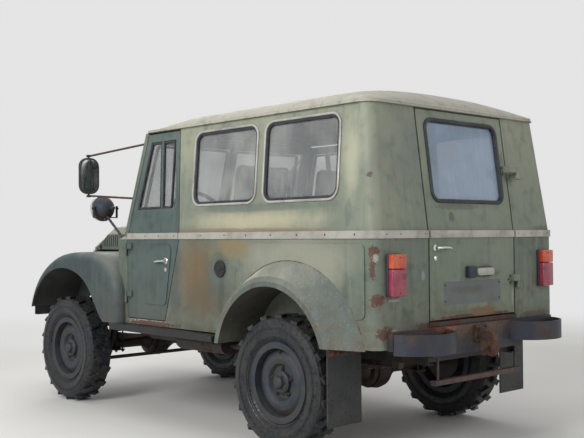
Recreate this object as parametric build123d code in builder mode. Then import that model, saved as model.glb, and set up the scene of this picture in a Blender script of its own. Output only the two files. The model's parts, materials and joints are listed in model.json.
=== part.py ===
from build123d import *
import math
import os

# Old army 4x4 car with a steel hardtop, at real size in millimetres.
# Frame: +X forward, +Y to the left, +Z up. The origin lies on the ground, on the
# centre plane, halfway along the overall length.

os.makedirs("parts", exist_ok=True)

# Overall layout
overall_length = 3850.0
wheelbase = 2300.0
track = 1440.0
rear_axle_x = -980.0
front_axle_x = rear_axle_x + wheelbase
seat_gap = 0.3
swing_gap = 6.0
cut_margin = 10.0
wide_span = 2.0 * overall_length

# Tyres and wheels
tyre_radius = 375.0
tyre_half_width = 92.0
lug_height = 16.0
lug_count = 18
lug_length = 74.0
lug_width = 38.0
lug_skew = 24.0
bead_radius = 206.0
bead_half_width = 62.0
flange_radius = 224.0
flange_thickness = 8.0
barrel_thickness = 16.0
disc_thickness = 8.0
hub_radius = 62.0
spindle_radius = 30.0
spindle_play = 0.05
hub_outer = 52.0
hub_inner = -44.0
wheel_centre_y = track / 2
hub_z = tyre_radius

# Axles and steering
axle_tube_radius = 40.0
diff_radius = 118.0
diff_half_width = 95.0
drum_plate_radius = 132.0
drum_plate_thickness = 12.0
ball_radius = 64.0
cup_thickness = 15.0
kingpin_y = 596.0
steer_arm_length = 135.0
steer_arm_drop = 58.0
steer_arm_thickness = 24.0
kingpin_radius = 22.0
kingpin_half = 92.0
track_rod_radius = 13.0

# Frame and springs
rail_y = 380.0
rail_width = 50.0
rail_bottom = 502.0
rail_top = 596.0
rail_wall = 8.0
spring_width = 45.0
leaf_thickness = 9.0
leaf_count = 5
spring_pad_gap = 12.0
front_spring_half = 480.0
rear_spring_half = 520.0
spring_rise = 20.0

# Tub, belt and upper cab
body_half_width = 800.0
bumperette_reach = 198.0
body_rear_x = bumperette_reach - overall_length / 2
panel = 30.0
tub_bottom = 612.0
belt_bottom = 1168.0
belt_top = 1208.0
belt_proud = 8.0
floor_thickness = 20.0
corner_radius = 62.0
roof_seam_z = 1865.0
roof_half_width = body_half_width - 55.0
roof_rear_x = body_rear_x + 93.0
cab_front_x = 760.0

# Front doors
door_front_x = 493.0
door_seam_top_x = -80.0
door_seam_low_x = 74.0
door_seam_roof_x = -30.0
door_low_z = 652.0
door_top_z = 1852.0
door_hinge_out = 13.0
door_hinge_forward = 5.0
door_knuckle_radius = 9.0
door_hinge_heights = [790.0, 1105.0]
door_frame = 42.0
pillar_top_x = 313.0
quarter_bar_low = 124.0
quarter_bar_high = 154.0
quarter_bar_width = 16.0

# Rear door
rear_door_half = 383.0
rear_door_low = 735.0
rear_door_top = 1857.0
rear_door_gap = 11.0
rear_hinge_x = body_rear_x - 20.0
rear_hinge_y = -398.0
rear_hinges = [  # middle z, x inside the wall behind it
    (915.0, body_rear_x + 15.0),
    (1540.0, body_rear_x + 65.0),
]
knuckle_radius = 11.0
knuckle_length = 38.0
knuckle_play = 0.4
pin_radius = 5.95
pin_bore = 6.0
rear_sill_z = 725.0
rear_sill_low = 702.0

# Side and rear windows: front edge, rear edge, sill and head of each
window_corner = 62.0
glass_thickness = 5.0
glass_inset = 12.0
side_windows = [  # front_x, rear_x, low_z, high_z
    (-213.0, -792.0, 1378.0, 1818.0),
    (-865.0, body_rear_x + 280.0, 1378.0, 1822.0),
]
rear_window_half = 322.0
rear_window_low = 1362.0
rear_window_high = 1808.0
rear_window_corner = 55.0

# Cowl, windscreen and bonnet
cowl_rear_x = 499.0
cowl_front_x = 606.0
cowl_crown_z = 1322.0
firewall_thickness = 24.0
screen_foot_x = 540.0
screen_foot_z = 1190.0
screen_head_x = 356.0
screen_thickness = 36.0
screen_post = 46.0
screen_sill_z = 1352.0
screen_head_z = 1806.0
bonnet_gap = 6.0
bonnet_skin = 16.0
bonnet_rear_half = 510.0
bonnet_front_half = 430.0
bonnet_low_z = 1090.0
bonnet_rear_top = 1308.0
bonnet_mid_top = 1288.0
bonnet_front_top = 1205.0
bonnet_mid_x = 1330.0
bonnet_front_x = 1492.0
bonnet_hinge_x = cowl_front_x + 3.0
bonnet_hinge_z = 1322.0
bonnet_hinge_y = 250.0
louvre_count = 8
louvre_pitch = 31.0
louvre_first_x = 1165.0
louvre_low = 1112.0
louvre_high = 1208.0
louvre_width = 14.0

# Wings, fenders and running boards
flare_y = body_half_width + 75.0
wing_inner_y = 455.0
wing_skin = 14.0
wing_crown = 72.0
wing_apron_radius = 430.0
wing_nose_x = 1762.0
wing_nose_z = 662.0
wing_foot_x = 528.0
wing_foot_z = 560.0
wing_round_steps = [0.0, 30.0, 60.0, 90.0]
wing_top = [  # x and z of the wing's top line, from the rear edge to the nose
    (wing_foot_x, 719.0),
    (596.0, 943.0),
    (743.0, 1050.0),
    (1007.0, 1080.0),
    (1364.0, 1044.0),
    (1560.0, 950.0),
    (wing_nose_x, wing_nose_z),
]
wing_lip = [  # x and z of the outer lip, from the board up and forward to the nose
    (643.0, 574.0),
    (774.0, 691.0),
    (909.0, 856.0),
    (1049.0, 934.0),
    (1214.0, 964.0),
    (1453.0, 924.0),
    (1612.0, 811.0),
    (1717.0, 662.0),
]
arch_x = -985.0
arch_z = 475.0
arch_radius = 446.0
arch_crest = 490.0
arch_crest_y = body_half_width + 62.0
crest_centre_x = -991.0
seam_centre_x = -1090.0
seam_radius = 575.0
arch_foot_z = 566.0
arch_rear_foot_z = 604.0
arch_inner_y = body_half_width - 240.0
board_front_x = 612.0
board_rear_x = crest_centre_x + arch_crest + seat_gap
board_inner_y = body_half_width - 65.0
board_top = tub_bottom - seat_gap
board_height = 44.0

# Front end
grille_x = 1500.0
grille_depth = 30.0
grille_half = wing_inner_y - seat_gap
grille_low = 640.0
grille_slots = 9
grille_slot_pitch = 56.0
grille_slot_width = 26.0
grille_slot_low = 760.0
grille_slot_high = 1085.0
headlamp_radius = 84.0
headlamp_y = 336.0
headlamp_z = 945.0
headlamp_depth = 62.0
lens_rise = 20.0
bumper_half = 735.0
bumper_height = 112.0
bumper_z = 640.0
bumper_depth = 46.0
bumper_x = overall_length / 2 - bumper_depth

# Pressed panels of the tub and doors
pressing_rise = 6.0
pressing_corner = 34.0
quarter_pressing = [  # x and z of its corners
    (-720.0, 1146.0),
    (body_rear_x + 75.0, 1141.0),
    (body_rear_x + 75.0, 765.0),
    (-1500.0, 752.0),
    (-800.0, 752.0),
]
door_pressing = [(320.0, 1132.0), (-8.0, 1132.0), (58.0, 750.0), (320.0, 750.0)]
filler_x = -478.0
filler_z = 992.0
filler_radius = 42.0
filler_dish = 100.0
filler_depth = 14.0

# Rear end
bumperette_width = 425.0
bumperette_height = 104.0
bumperette_low = 585.0
bumperette_y = body_half_width - 300.0
bumperette_plate = 8.0
beam_depth = 32.0
beam_half = body_half_width - 80.0
beam_low = 606.0
beam_high = 700.0
beam_foot = 548.0
step_x = body_rear_x - 21.0
step_z = 412.0
step_half = 392.0
hook_x = body_rear_x - 111.0
hook_z = 566.0
hook_outer = 38.0
hook_inner = 18.0
hook_plate_z = 646.0
hook_width = 36.0
lamp_y = body_half_width - 125.0
lamp_low = 874.0
lamp_high = 1092.0
lamp_width = 112.0
lamp_depth = 50.0
flap_x = rear_axle_x - 470.0
flap_thickness = 9.0
flap_inner_y = flare_y - 249.0
flap_low = 205.0
flap_high = arch_rear_foot_z - seat_gap

# Cabin
seat_width = 470.0
seat_depth = 440.0
cushion_low = 880.0
cushion_thickness = 120.0
back_height = 805.0
back_thickness = 120.0
seat_x = -70.0
seat_y = 350.0
bench_front_x = -620.0
bench_rear_x = body_rear_x + 67.0
bench_outer_y = body_half_width - 36.0
bench_inner_y = bench_outer_y - 284.0
bench_thickness = 70.0
steering_y = 350.0
steering_wheel_radius = 205.0
steering_rim_radius = 13.0
steering_angle = 38.0
steering_x = 268.0
steering_z = 1330.0
column_radius = 21.0
column_drop = 34.0
dash_depth = 30.0
dash_low = 1120.0
dash_half = body_half_width - 55.0


def tyre(x, y):
    """Tyre ring with its rows of tread lugs, centred on the hub at x and y."""
    lug_root = tyre_radius - lug_height
    with BuildPart() as lug:
        with BuildSketch(Plane.XY.offset(lug_root - 5.0)):
            with Locations((0.0, tyre_half_width - 16.0 - lug_length / 2)):
                Rectangle(lug_width, lug_length, rotation=lug_skew)
        extrude(amount=lug_height + 5.0)
    with BuildPart() as ring:
        with BuildSketch(Plane.YZ):
            with BuildLine():
                Polyline(
                    (-bead_half_width, bead_radius),
                    (-bead_half_width, flange_radius + 4.0),
                    (-tyre_half_width + 5.0, 0.69 * tyre_radius),
                    (-tyre_half_width, 0.77 * tyre_radius),
                    (-tyre_half_width + 3.0, 0.86 * tyre_radius),
                    (-tyre_half_width + 12.0, lug_root - 9.0),
                    (-tyre_half_width + 26.0, lug_root),
                    (tyre_half_width - 26.0, lug_root),
                    (tyre_half_width - 12.0, lug_root - 9.0),
                    (tyre_half_width - 3.0, 0.86 * tyre_radius),
                    (tyre_half_width, 0.77 * tyre_radius),
                    (tyre_half_width - 5.0, 0.69 * tyre_radius),
                    (bead_half_width, flange_radius + 4.0),
                    (bead_half_width, bead_radius),
                    close=True,
                )
            make_face()
        revolve(axis=Axis.Y)
        for index in range(lug_count):
            turn = index * 360.0 / lug_count
            add(lug.part.rotate(Axis.Y, turn))
            add(mirror(lug.part, about=Plane.XZ).rotate(Axis.Y, turn + 180.0 / lug_count))
    return ring.part.moved(Location((x, y, hub_z)))


def wheel(x, y, side):
    """Pressed steel wheel with its hub, bored for the spindle; side is 1 on the left and -1 on the right."""
    barrel_inner = bead_radius - seat_gap - barrel_thickness
    with BuildPart() as disc:
        with BuildSketch(Plane.YZ):
            with BuildLine():
                Polyline(
                    (-bead_half_width - seat_gap, bead_radius - seat_gap),
                    (-bead_half_width - seat_gap, flange_radius),
                    (-bead_half_width - flange_thickness, flange_radius),
                    (-bead_half_width - flange_thickness, barrel_inner),
                    (bead_half_width + flange_thickness, barrel_inner),
                    (bead_half_width + flange_thickness, flange_radius),
                    (bead_half_width + seat_gap, flange_radius),
                    (bead_half_width + seat_gap, bead_radius - seat_gap),
                    close=True,
                )
            make_face()
            with BuildLine():
                Polyline(
                    (12.0, barrel_inner + 4.0),
                    (12.0 + disc_thickness, barrel_inner + 4.0),
                    (40.0 + disc_thickness, 150.0),
                    (44.0 + disc_thickness, 128.0),
                    (36.0 + disc_thickness, 104.0),
                    (16.0 + disc_thickness, 92.0),
                    (16.0 + disc_thickness, hub_radius - 4.0),
                    (16.0, hub_radius - 4.0),
                    (16.0, 96.0),
                    (34.0, 110.0),
                    (38.0, 128.0),
                    (34.0, 146.0),
                    close=True,
                )
            make_face()
            with BuildLine():
                Polyline(
                    (hub_inner, spindle_radius + spindle_play),
                    (hub_inner, hub_radius),
                    (hub_outer - 10.0, hub_radius),
                    (hub_outer, hub_radius - 10.0),
                    (hub_outer, spindle_radius + spindle_play),
                    close=True,
                )
            make_face()
        revolve(axis=Axis.Y)
        if side < 0:
            mirror(about=Plane.XZ, mode=Mode.REPLACE)
    return disc.part.moved(Location((x, y, hub_z)))


wheel_places = [  # name, axle_x, side
    ("front_left", front_axle_x, 1),
    ("front_right", front_axle_x, -1),
    ("rear_left", rear_axle_x, 1),
    ("rear_right", rear_axle_x, -1),
]
tyre_form = tyre(0.0, 0.0)
wheel_forms = {1: wheel(0.0, 0.0, 1), -1: wheel(0.0, 0.0, -1)}
for name, axle_x, side in wheel_places:
    place = Location((axle_x, side * wheel_centre_y, 0.0))
    with BuildPart() as tyre_node:
        add(tyre_form.moved(place))
    tyre_node.part.label = "tyre_" + name
    export_step(tyre_node.part, "parts/tyre_" + name + ".step")
    with BuildPart() as wheel_node:
        add(wheel_forms[side].moved(place))
    wheel_node.part.label = "wheel_" + name
    export_step(wheel_node.part, "parts/wheel_" + name + ".step")

# Rear axle: one turned outline with its drive casing, tubes, brake plates and spindles
plate_y = wheel_centre_y + hub_inner - drum_plate_thickness - 2.0
spindle_end = wheel_centre_y + hub_outer - 4.0
with BuildPart() as rear_axle:
    with BuildSketch(Plane.YZ.offset(rear_axle_x)):
        with BuildLine():
            Polyline(
                (0.0, hub_z),
                (0.0, hub_z + diff_radius),
                (0.4 * diff_half_width, hub_z + 0.94 * diff_radius),
                (diff_half_width, hub_z + 0.6 * diff_radius),
                (diff_half_width + 60.0, hub_z + axle_tube_radius),
                (plate_y, hub_z + axle_tube_radius),
                (plate_y, hub_z + drum_plate_radius),
                (plate_y + drum_plate_thickness, hub_z + drum_plate_radius),
                (plate_y + drum_plate_thickness, hub_z + spindle_radius),
                (spindle_end, hub_z + spindle_radius),
                (spindle_end, hub_z),
                close=True,
            )
        make_face()
    revolve(axis=Axis((rear_axle_x, 0, hub_z), (0, 1, 0)))
    mirror(about=Plane.XZ)
rear_axle.part.label = "rear_axle"
export_step(rear_axle.part, "parts/rear_axle.step")

# Front axle: the same casing and tubes, ending in the balls that the knuckles turn on
with BuildPart() as front_axle:
    with BuildSketch(Plane.YZ.offset(front_axle_x)):
        with BuildLine():
            Polyline(
                (0.0, hub_z),
                (0.0, hub_z + diff_radius),
                (0.4 * diff_half_width, hub_z + 0.94 * diff_radius),
                (diff_half_width, hub_z + 0.6 * diff_radius),
                (diff_half_width + 60.0, hub_z + axle_tube_radius),
                (kingpin_y, hub_z + axle_tube_radius),
                (kingpin_y, hub_z),
                close=True,
            )
        make_face()
    revolve(axis=Axis((front_axle_x, 0, hub_z), (0, 1, 0)))
    with Locations((front_axle_x, kingpin_y, hub_z)):
        Sphere(ball_radius)
    mirror(about=Plane.XZ)
front_axle.part.label = "front_axle"
export_step(front_axle.part, "parts/front_axle.step")

# Steering knuckles: a half cup round the ball, brake plate, spindle and steering arm
cup_inner = ball_radius + seat_gap
cup_outer = cup_inner + cup_thickness
arm_z = hub_z - steer_arm_drop
with BuildPart() as knuckle_left:
    with Locations((front_axle_x, kingpin_y, hub_z)):
        Sphere(cup_outer)
        Sphere(cup_inner, mode=Mode.SUBTRACT)
    split(bisect_by=Plane.XZ.offset(-kingpin_y - 6.0), keep=Keep.BOTTOM)
    with BuildSketch(Plane.XZ.offset(-(kingpin_y + cup_inner + 2.0))):
        with Locations((front_axle_x, hub_z)):
            Circle(drum_plate_radius)
    extrude(amount=-(plate_y + drum_plate_thickness - kingpin_y - cup_inner - 2.0))
    with BuildSketch(Plane.XZ.offset(-(plate_y + drum_plate_thickness))):
        with Locations((front_axle_x, hub_z)):
            Circle(spindle_radius)
    extrude(amount=-(spindle_end - plate_y - drum_plate_thickness))
    with BuildSketch(Plane.XY.offset(arm_z - steer_arm_thickness / 2)):
        with Locations((front_axle_x - steer_arm_length / 2 - 20.0, kingpin_y)):
            Rectangle(steer_arm_length - 20.0, 34.0)
        with Locations((front_axle_x - steer_arm_length, kingpin_y)):
            Circle(24.0)
    extrude(amount=steer_arm_thickness)
    with Locations((front_axle_x, kingpin_y, hub_z)):
        Sphere(cup_inner, mode=Mode.SUBTRACT)
    for low_z in (hub_z - kingpin_half, hub_z + cup_inner):
        with BuildSketch(Plane.XY.offset(low_z)):
            with Locations((front_axle_x, kingpin_y)):
                Circle(kingpin_radius)
        extrude(amount=kingpin_half - cup_inner)
knuckle_left.part.label = "knuckle_left"
export_step(knuckle_left.part, "parts/knuckle_left.step")
with BuildPart() as knuckle_right:
    mirror(knuckle_left.part, about=Plane.XZ)
knuckle_right.part.label = "knuckle_right"
export_step(knuckle_right.part, "parts/knuckle_right.step")

# Track rod: joins the two steering arms behind the front axle
rod_y = kingpin_y
rod_z = arm_z - steer_arm_thickness / 2 - seat_gap - track_rod_radius
with BuildPart() as track_rod:
    with BuildSketch(Plane.XZ.offset(-rod_y)):
        with Locations((front_axle_x - steer_arm_length, rod_z)):
            Circle(track_rod_radius)
    extrude(amount=2 * rod_y)
    with BuildSketch(Plane.XY.offset(rod_z - track_rod_radius)):
        with Locations(
            (front_axle_x - steer_arm_length, rod_y), (front_axle_x - steer_arm_length, -rod_y)
        ):
            Circle(20.0)
    extrude(amount=2 * track_rod_radius)
track_rod.part.label = "track_rod"
export_step(track_rod.part, "parts/track_rod.step")

# Chassis frame: two channel rails and the cross-members between them
rail_rear_x = body_rear_x + 1.0
cross_members = [  # x, depth along x, low z, high z
    (body_rear_x + 67.0, 60.0, 510.0, 590.0),
    (-1290.0, 50.0, 520.0, 588.0),
    (-560.0, 60.0, 520.0, 588.0),
    (640.0, 60.0, 506.0, 560.0),
    (1600.0, 70.0, 510.0, 588.0),
]
with BuildPart() as chassis_frame:
    with BuildSketch(Plane.YZ.offset(rail_rear_x)):
        with Locations((rail_y, (rail_bottom + rail_top) / 2)):
            Rectangle(rail_width, rail_top - rail_bottom)
        with Locations((rail_y - rail_wall, (rail_bottom + rail_top) / 2)):
            Rectangle(rail_width, rail_top - rail_bottom - 2 * rail_wall, mode=Mode.SUBTRACT)
    extrude(amount=bumper_x - seat_gap - rail_rear_x)
    mirror(about=Plane.XZ)
    for member_x, depth, low, high in cross_members:
        with BuildSketch(Plane.XY.offset(low)):
            with Locations((member_x, 0.0)):
                Rectangle(depth, 2 * (rail_y + rail_width / 2) - rail_wall)
        extrude(amount=high - low)
chassis_frame.part.label = "chassis_frame"
export_step(chassis_frame.part, "parts/chassis_frame.step")

# Leaf springs: packs of arched leaves on the axle pads, with shackle eyes under the rails
spring_table = [  # axle_x, half span
    (front_axle_x, front_spring_half),
    (rear_axle_x, rear_spring_half),
]
pad_z = hub_z + axle_tube_radius + seat_gap
with BuildPart() as leaf_springs:
    for axle_x, half_span in spring_table:
        main_z = pad_z + leaf_count * leaf_thickness
        for leaf in range(leaf_count):
            half = half_span * (leaf + 1.2) / (leaf_count + 0.2)
            low = pad_z + leaf * leaf_thickness
            rise = spring_rise * (half / half_span) ** 2
            with BuildSketch(Plane.XZ.offset(-(rail_y + spring_width / 2))):
                with BuildLine():
                    ThreePointArc(
                        (axle_x - half, low + rise), (axle_x, low), (axle_x + half, low + rise)
                    )
                    Line(
                        (axle_x + half, low + rise),
                        (axle_x + half, low + rise + leaf_thickness + 0.1),
                    )
                    ThreePointArc(
                        (axle_x + half, low + rise + leaf_thickness + 0.1),
                        (axle_x, low + leaf_thickness + 0.1),
                        (axle_x - half, low + rise + leaf_thickness + 0.1),
                    )
                    Line(
                        (axle_x - half, low + rise + leaf_thickness + 0.1),
                        (axle_x - half, low + rise),
                    )
                make_face()
            extrude(amount=spring_width)
        for end in (-1, 1):
            eye_x = axle_x + end * half_span
            eye_z = rail_bottom - 22.0
            with BuildSketch(Plane.XZ.offset(-(rail_y + spring_width / 2))):
                with BuildLine():
                    Polyline(
                        (eye_x - 18.0, eye_z - 16.0),
                        (eye_x + 18.0, eye_z - 16.0),
                        (eye_x + 26.0, rail_bottom - seat_gap),
                        (eye_x - 26.0, rail_bottom - seat_gap),
                        close=True,
                    )
                make_face()
            extrude(amount=spring_width)
    mirror(about=Plane.XZ)
leaf_springs.part.label = "leaf_springs"
export_step(leaf_springs.part, "parts/leaf_springs.step")

engine_x = 1110.0
engine_length = 600.0
engine_width = 400.0
engine_low = 570.0
engine_high = 1020.0
radiator_width = 560.0
radiator_depth = 60.0
radiator_low = 620.0
radiator_high = 1060.0

# Engine: one plain block with the radiator in front of it as its own solid
with BuildPart() as engine:
    with BuildSketch(Plane.XY.offset(engine_low)):
        with Locations((engine_x, 0.0)):
            Rectangle(engine_length, engine_width)
    extrude(amount=engine_high - engine_low)
    with BuildSketch(Plane.XY.offset(radiator_low)):
        with Locations((grille_x - seat_gap - radiator_depth / 2, 0.0)):
            Rectangle(radiator_depth, radiator_width)
    extrude(amount=radiator_high - radiator_low)
    with BuildSketch(Plane.XY.offset(rail_top + seat_gap)):
        with Locations((engine_x, 0.0)):
            Rectangle(60.0, 2 * rail_y + 20.0)
    extrude(amount=20.0)
engine.part.label = "engine"
export_step(engine.part, "parts/engine.step")

# Gearbox, transfer box and the two propeller shafts
shaft_z = 452.0
transfer_front_x = 60.0
transfer_rear_x = -190.0
gearbox_front_x = 640.0 - 30.0 - seat_gap
with BuildPart() as drivetrain:
    with BuildSketch(Plane.XY.offset(402.0)):
        with Locations(((transfer_front_x + transfer_rear_x) / 2, 0.0)):
            Rectangle(transfer_front_x - transfer_rear_x, 260.0)
    extrude(amount=190.0)
    with BuildSketch(Plane.YZ.offset(transfer_front_x)):
        with Locations((0.0, 520.0)):
            RectangleRounded(210.0, 140.0, 30.0)
    extrude(amount=gearbox_front_x - transfer_front_x)
    for end_x, reach in ((rear_axle_x, transfer_rear_x), (front_axle_x, transfer_front_x)):
        direction = 1.0 if end_x > reach else -1.0
        start = Vector(reach - direction * 5.0, 0.0, shaft_z)
        run = Vector(end_x, 0.0, hub_z) - start
        with BuildSketch(Plane(origin=start, z_dir=run)):
            Circle(27.0)
        extrude(amount=run.length - diff_radius - seat_gap)
drivetrain.part.label = "drivetrain"
export_step(drivetrain.part, "parts/drivetrain.step")

tank_x = -210.0
tank_y = body_half_width - 230.0
tank_low = 440.0
tank_length = 560.0
tank_width = 270.0

# Fuel tank under the right seat side and the exhaust on the other side of the frame
with BuildPart() as fuel_tank:
    with BuildSketch(Plane.XY.offset(tank_low)):
        with Locations((tank_x, -tank_y)):
            RectangleRounded(tank_length, tank_width, 40.0)
    extrude(amount=tub_bottom - seat_gap - tank_low)
fuel_tank.part.label = "fuel_tank"
export_step(fuel_tank.part, "parts/fuel_tank.step")
with BuildPart() as exhaust:
    with BuildSketch(Plane.YZ.offset(-250.0)):
        with Locations((520.0, 500.0)):
            Ellipse(85.0, 62.0)
    extrude(amount=480.0)
    with BuildSketch(Plane.YZ.offset(-560.0)):
        with Locations((520.0, 500.0)):
            Circle(22.0)
    extrude(amount=330.0)
    with BuildSketch(Plane.YZ.offset(200.0)):
        with Locations((520.0, 500.0)):
            Circle(22.0)
    extrude(amount=420.0)
    for hanger_x in (-200.0, 180.0):
        with BuildSketch(Plane.XY.offset(500.0)):
            with Locations((hanger_x, 520.0)):
                Circle(7.0)
        extrude(amount=tub_bottom - seat_gap - 500.0)
exhaust.part.label = "exhaust"
export_step(exhaust.part, "parts/exhaust.step")

# Floor pan between the tub sides, open over the rear wheelhouses
floor_rear_x = body_rear_x + panel + seat_gap
floor_front_x = cowl_front_x - firewall_thickness - seat_gap
with BuildPart() as floor_pan:
    with BuildSketch(Plane.XY.offset(tub_bottom)):
        with Locations(((floor_rear_x + floor_front_x) / 2, 0.0)):
            Rectangle(floor_front_x - floor_rear_x, 2 * (body_half_width - panel - seat_gap))
        for side in (-1, 1):
            with Locations((arch_x, side * (body_half_width + arch_inner_y - 14.0) / 2)):
                Rectangle(
                    2 * arch_radius, body_half_width - arch_inner_y + 14.0, mode=Mode.SUBTRACT
                )
    extrude(amount=floor_thickness)
floor_pan.part.label = "floor_pan"
export_step(floor_pan.part, "parts/floor_pan.step")

# Body mounts are the blocks that carry the floor on the rails
mount_table = [body_rear_x + 227.0, -420.0, 300.0]
with BuildPart() as body_mounts:
    for mount_x in mount_table:
        with BuildSketch(Plane.XY.offset(rail_top)):
            with Locations((mount_x, rail_y), (mount_x, -rail_y)):
                Circle(22.0)
        extrude(amount=tub_bottom - rail_top)
body_mounts.part.label = "body_mounts"
export_step(body_mounts.part, "parts/body_mounts.step")


def seam_x(z):
    """Rear edge of the front door at height z: it slants forward below the belt and above it."""
    if z <= belt_bottom:
        share = (z - door_low_z) / (belt_bottom - door_low_z)
        return door_seam_low_x + share * (door_seam_top_x - door_seam_low_x)
    share = (z - belt_bottom) / (door_top_z - belt_bottom)
    return door_seam_top_x + share * (door_seam_roof_x - door_seam_top_x)


def rear_hinge_half(middle_z, wall_x, side):
    """One half of a rear door hinge: side -1 is the body's lower half with its pin, 1 is the door's."""
    low = middle_z + knuckle_play / 2 if side > 0 else middle_z - knuckle_length
    height = knuckle_length - (knuckle_play / 2 if side > 0 else 0.0)
    arm_end = rear_hinge_y + side * 46.0
    with BuildPart() as half:
        with BuildSketch(Plane.XY.offset(low)):
            with Locations((rear_hinge_x, rear_hinge_y)):
                Circle(knuckle_radius)
            with Locations((rear_hinge_x, (rear_hinge_y + arm_end) / 2)):
                Rectangle(12.0, abs(arm_end - rear_hinge_y))
            with Locations(((rear_hinge_x - 6.0 + wall_x) / 2, arm_end - side * 13.0)):
                Rectangle(wall_x - rear_hinge_x + 6.0, 26.0)
        extrude(amount=height)
        with BuildSketch(Plane.XY.offset(low)):
            with Locations((rear_hinge_x, rear_hinge_y)):
                if side > 0:
                    Circle(pin_bore)
                else:
                    Circle(pin_radius)
        if side > 0:
            extrude(amount=height, mode=Mode.SUBTRACT)
        else:
            extrude(amount=2 * knuckle_length)
    return half.part


# Tub sides: the left one wraps round the rear corner up to the rear door
with BuildPart() as tub_sides:
    with BuildSketch(Plane.XZ.offset(-body_half_width)):
        with BuildLine():
            Polyline(
                (body_rear_x, tub_bottom),
                (body_rear_x, belt_bottom),
                (seam_x(belt_bottom) - swing_gap, belt_bottom),
                (seam_x(door_low_z) - swing_gap, door_low_z - swing_gap),
                (cowl_rear_x - seat_gap, door_low_z - swing_gap),
                (cowl_rear_x - seat_gap, tub_bottom),
                close=True,
            )
        make_face()
    extrude(amount=panel)
    with BuildSketch(Plane.XY.offset(tub_bottom)):
        with Locations((body_rear_x + panel / 2, (body_half_width + rear_door_half + rear_door_gap) / 2)):
            Rectangle(panel, body_half_width - rear_door_half - rear_door_gap)
    extrude(amount=belt_bottom - tub_bottom)
    corner = tub_sides.edges().filter_by(Axis.Z).sort_by(Axis.X)[0:2].sort_by(Axis.Y)[-1]
    fillet(corner, radius=corner_radius * 0.9)
    with BuildSketch(Plane.XZ.offset(-body_half_width - 1.0)):
        with Locations((arch_x, arch_z)):
            Circle(arch_radius + seat_gap)
    extrude(amount=panel + 30.0, mode=Mode.SUBTRACT)
    with BuildSketch(Plane.XZ.offset(-body_half_width)) as raised:
        with BuildLine():
            Polyline(*quarter_pressing, close=True)
        make_face()
        fillet(raised.vertices(), radius=pressing_corner)
        with Locations((seam_centre_x, arch_z)):
            Circle(seam_radius + 2.0, mode=Mode.SUBTRACT)
    extrude(amount=-pressing_rise)
    with BuildSketch(Plane.XZ.offset(-body_half_width)):
        with Locations((filler_x, filler_z)):
            Circle(filler_dish)
    extrude(amount=filler_depth, taper=75.0, mode=Mode.SUBTRACT)
    with BuildSketch(Plane.XZ.offset(-body_half_width - 1.0)):
        with Locations((filler_x, filler_z)):
            Circle(filler_radius)
    extrude(amount=panel + 2.0, mode=Mode.SUBTRACT)
    mirror(about=Plane.XZ)
    add(rear_hinge_half(*rear_hinges[0], -1))
tub_sides.part.label = "tub_sides"
export_step(tub_sides.part, "parts/tub_sides.step")

# Rear sill under the rear door
with BuildPart() as rear_sill:
    with BuildSketch(Plane.XY.offset(tub_bottom)):
        with Locations((body_rear_x + panel / 2, 0.0)):
            Rectangle(panel, 2 * (rear_door_half + rear_door_gap - seat_gap))
    extrude(amount=rear_sill_z - tub_bottom)
    with BuildSketch(Plane.XY.offset(rear_sill_low)):
        with Locations((body_rear_x - 4.0, 0.0)):
            Rectangle(8.0, 2 * (rear_door_half + rear_door_gap - seat_gap))
    extrude(amount=rear_sill_z - rear_sill_low)
rear_sill.part.label = "rear_sill"
export_step(rear_sill.part, "parts/rear_sill.step")


def cab_form(inset):
    """Leaning outer form of the upper cab, brought in by inset on its sides and rear."""
    sections = [  # z, rear_x, half width
        (belt_bottom, body_rear_x, body_half_width),
        (roof_seam_z, roof_rear_x, roof_half_width),
    ]
    with BuildPart() as form:
        for z, rear_x, half in sections:
            with BuildSketch(Plane.XY.offset(z)):
                with Locations(((rear_x + inset + cab_front_x) / 2, 0.0)):
                    RectangleRounded(
                        cab_front_x - rear_x - inset,
                        2 * (half - inset),
                        corner_radius * 0.9 - inset * 0.9,
                    )
        loft(ruled=True)
    return form.part


cab_outer = cab_form(0.0)
cab_inner = cab_form(panel)
glass_outer = cab_form(glass_inset)
glass_inner = cab_form(glass_inset + glass_thickness)

# Hardtop sides: leaning walls with two windows each, wrapped round the rear corners
with BuildPart() as hardtop_sides:
    add(cab_outer)
    add(cab_inner, mode=Mode.SUBTRACT)
    with BuildSketch(Plane.XZ.offset(-body_half_width - 1.0)):
        with BuildLine():
            Polyline(
                (seam_x(belt_bottom) - swing_gap, belt_bottom - 1.0),
                (seam_x(door_top_z) - swing_gap, door_top_z),
                (seam_x(door_top_z) - swing_gap, roof_seam_z + 1.0),
                (cab_front_x + 10.0, roof_seam_z + 1.0),
                (cab_front_x + 10.0, belt_bottom - 1.0),
                close=True,
            )
        make_face()
    extrude(amount=2 * body_half_width + 2.0, mode=Mode.SUBTRACT)
    with BuildSketch(Plane.YZ.offset(body_rear_x - 1.0)):
        with Locations((0.0, (belt_bottom + roof_seam_z) / 2)):
            Rectangle(2 * (rear_door_half + rear_door_gap), roof_seam_z - belt_bottom + 2.0)
    extrude(amount=300.0, mode=Mode.SUBTRACT)
    for front_x, rear_x, low, high in side_windows:
        with BuildSketch(Plane.XZ.offset(-body_half_width - 1.0)):
            with Locations(((front_x + rear_x) / 2, (low + high) / 2)):
                RectangleRounded(front_x - rear_x, high - low, window_corner)
        extrude(amount=2 * body_half_width + 2.0, mode=Mode.SUBTRACT)
    add(rear_hinge_half(*rear_hinges[1], -1))
hardtop_sides.part.label = "hardtop_sides"
export_step(hardtop_sides.part, "parts/hardtop_sides.step")

# Front door hinges
door_hinge_x = door_front_x + door_hinge_forward
door_hinge_y = body_half_width + door_hinge_out


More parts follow.
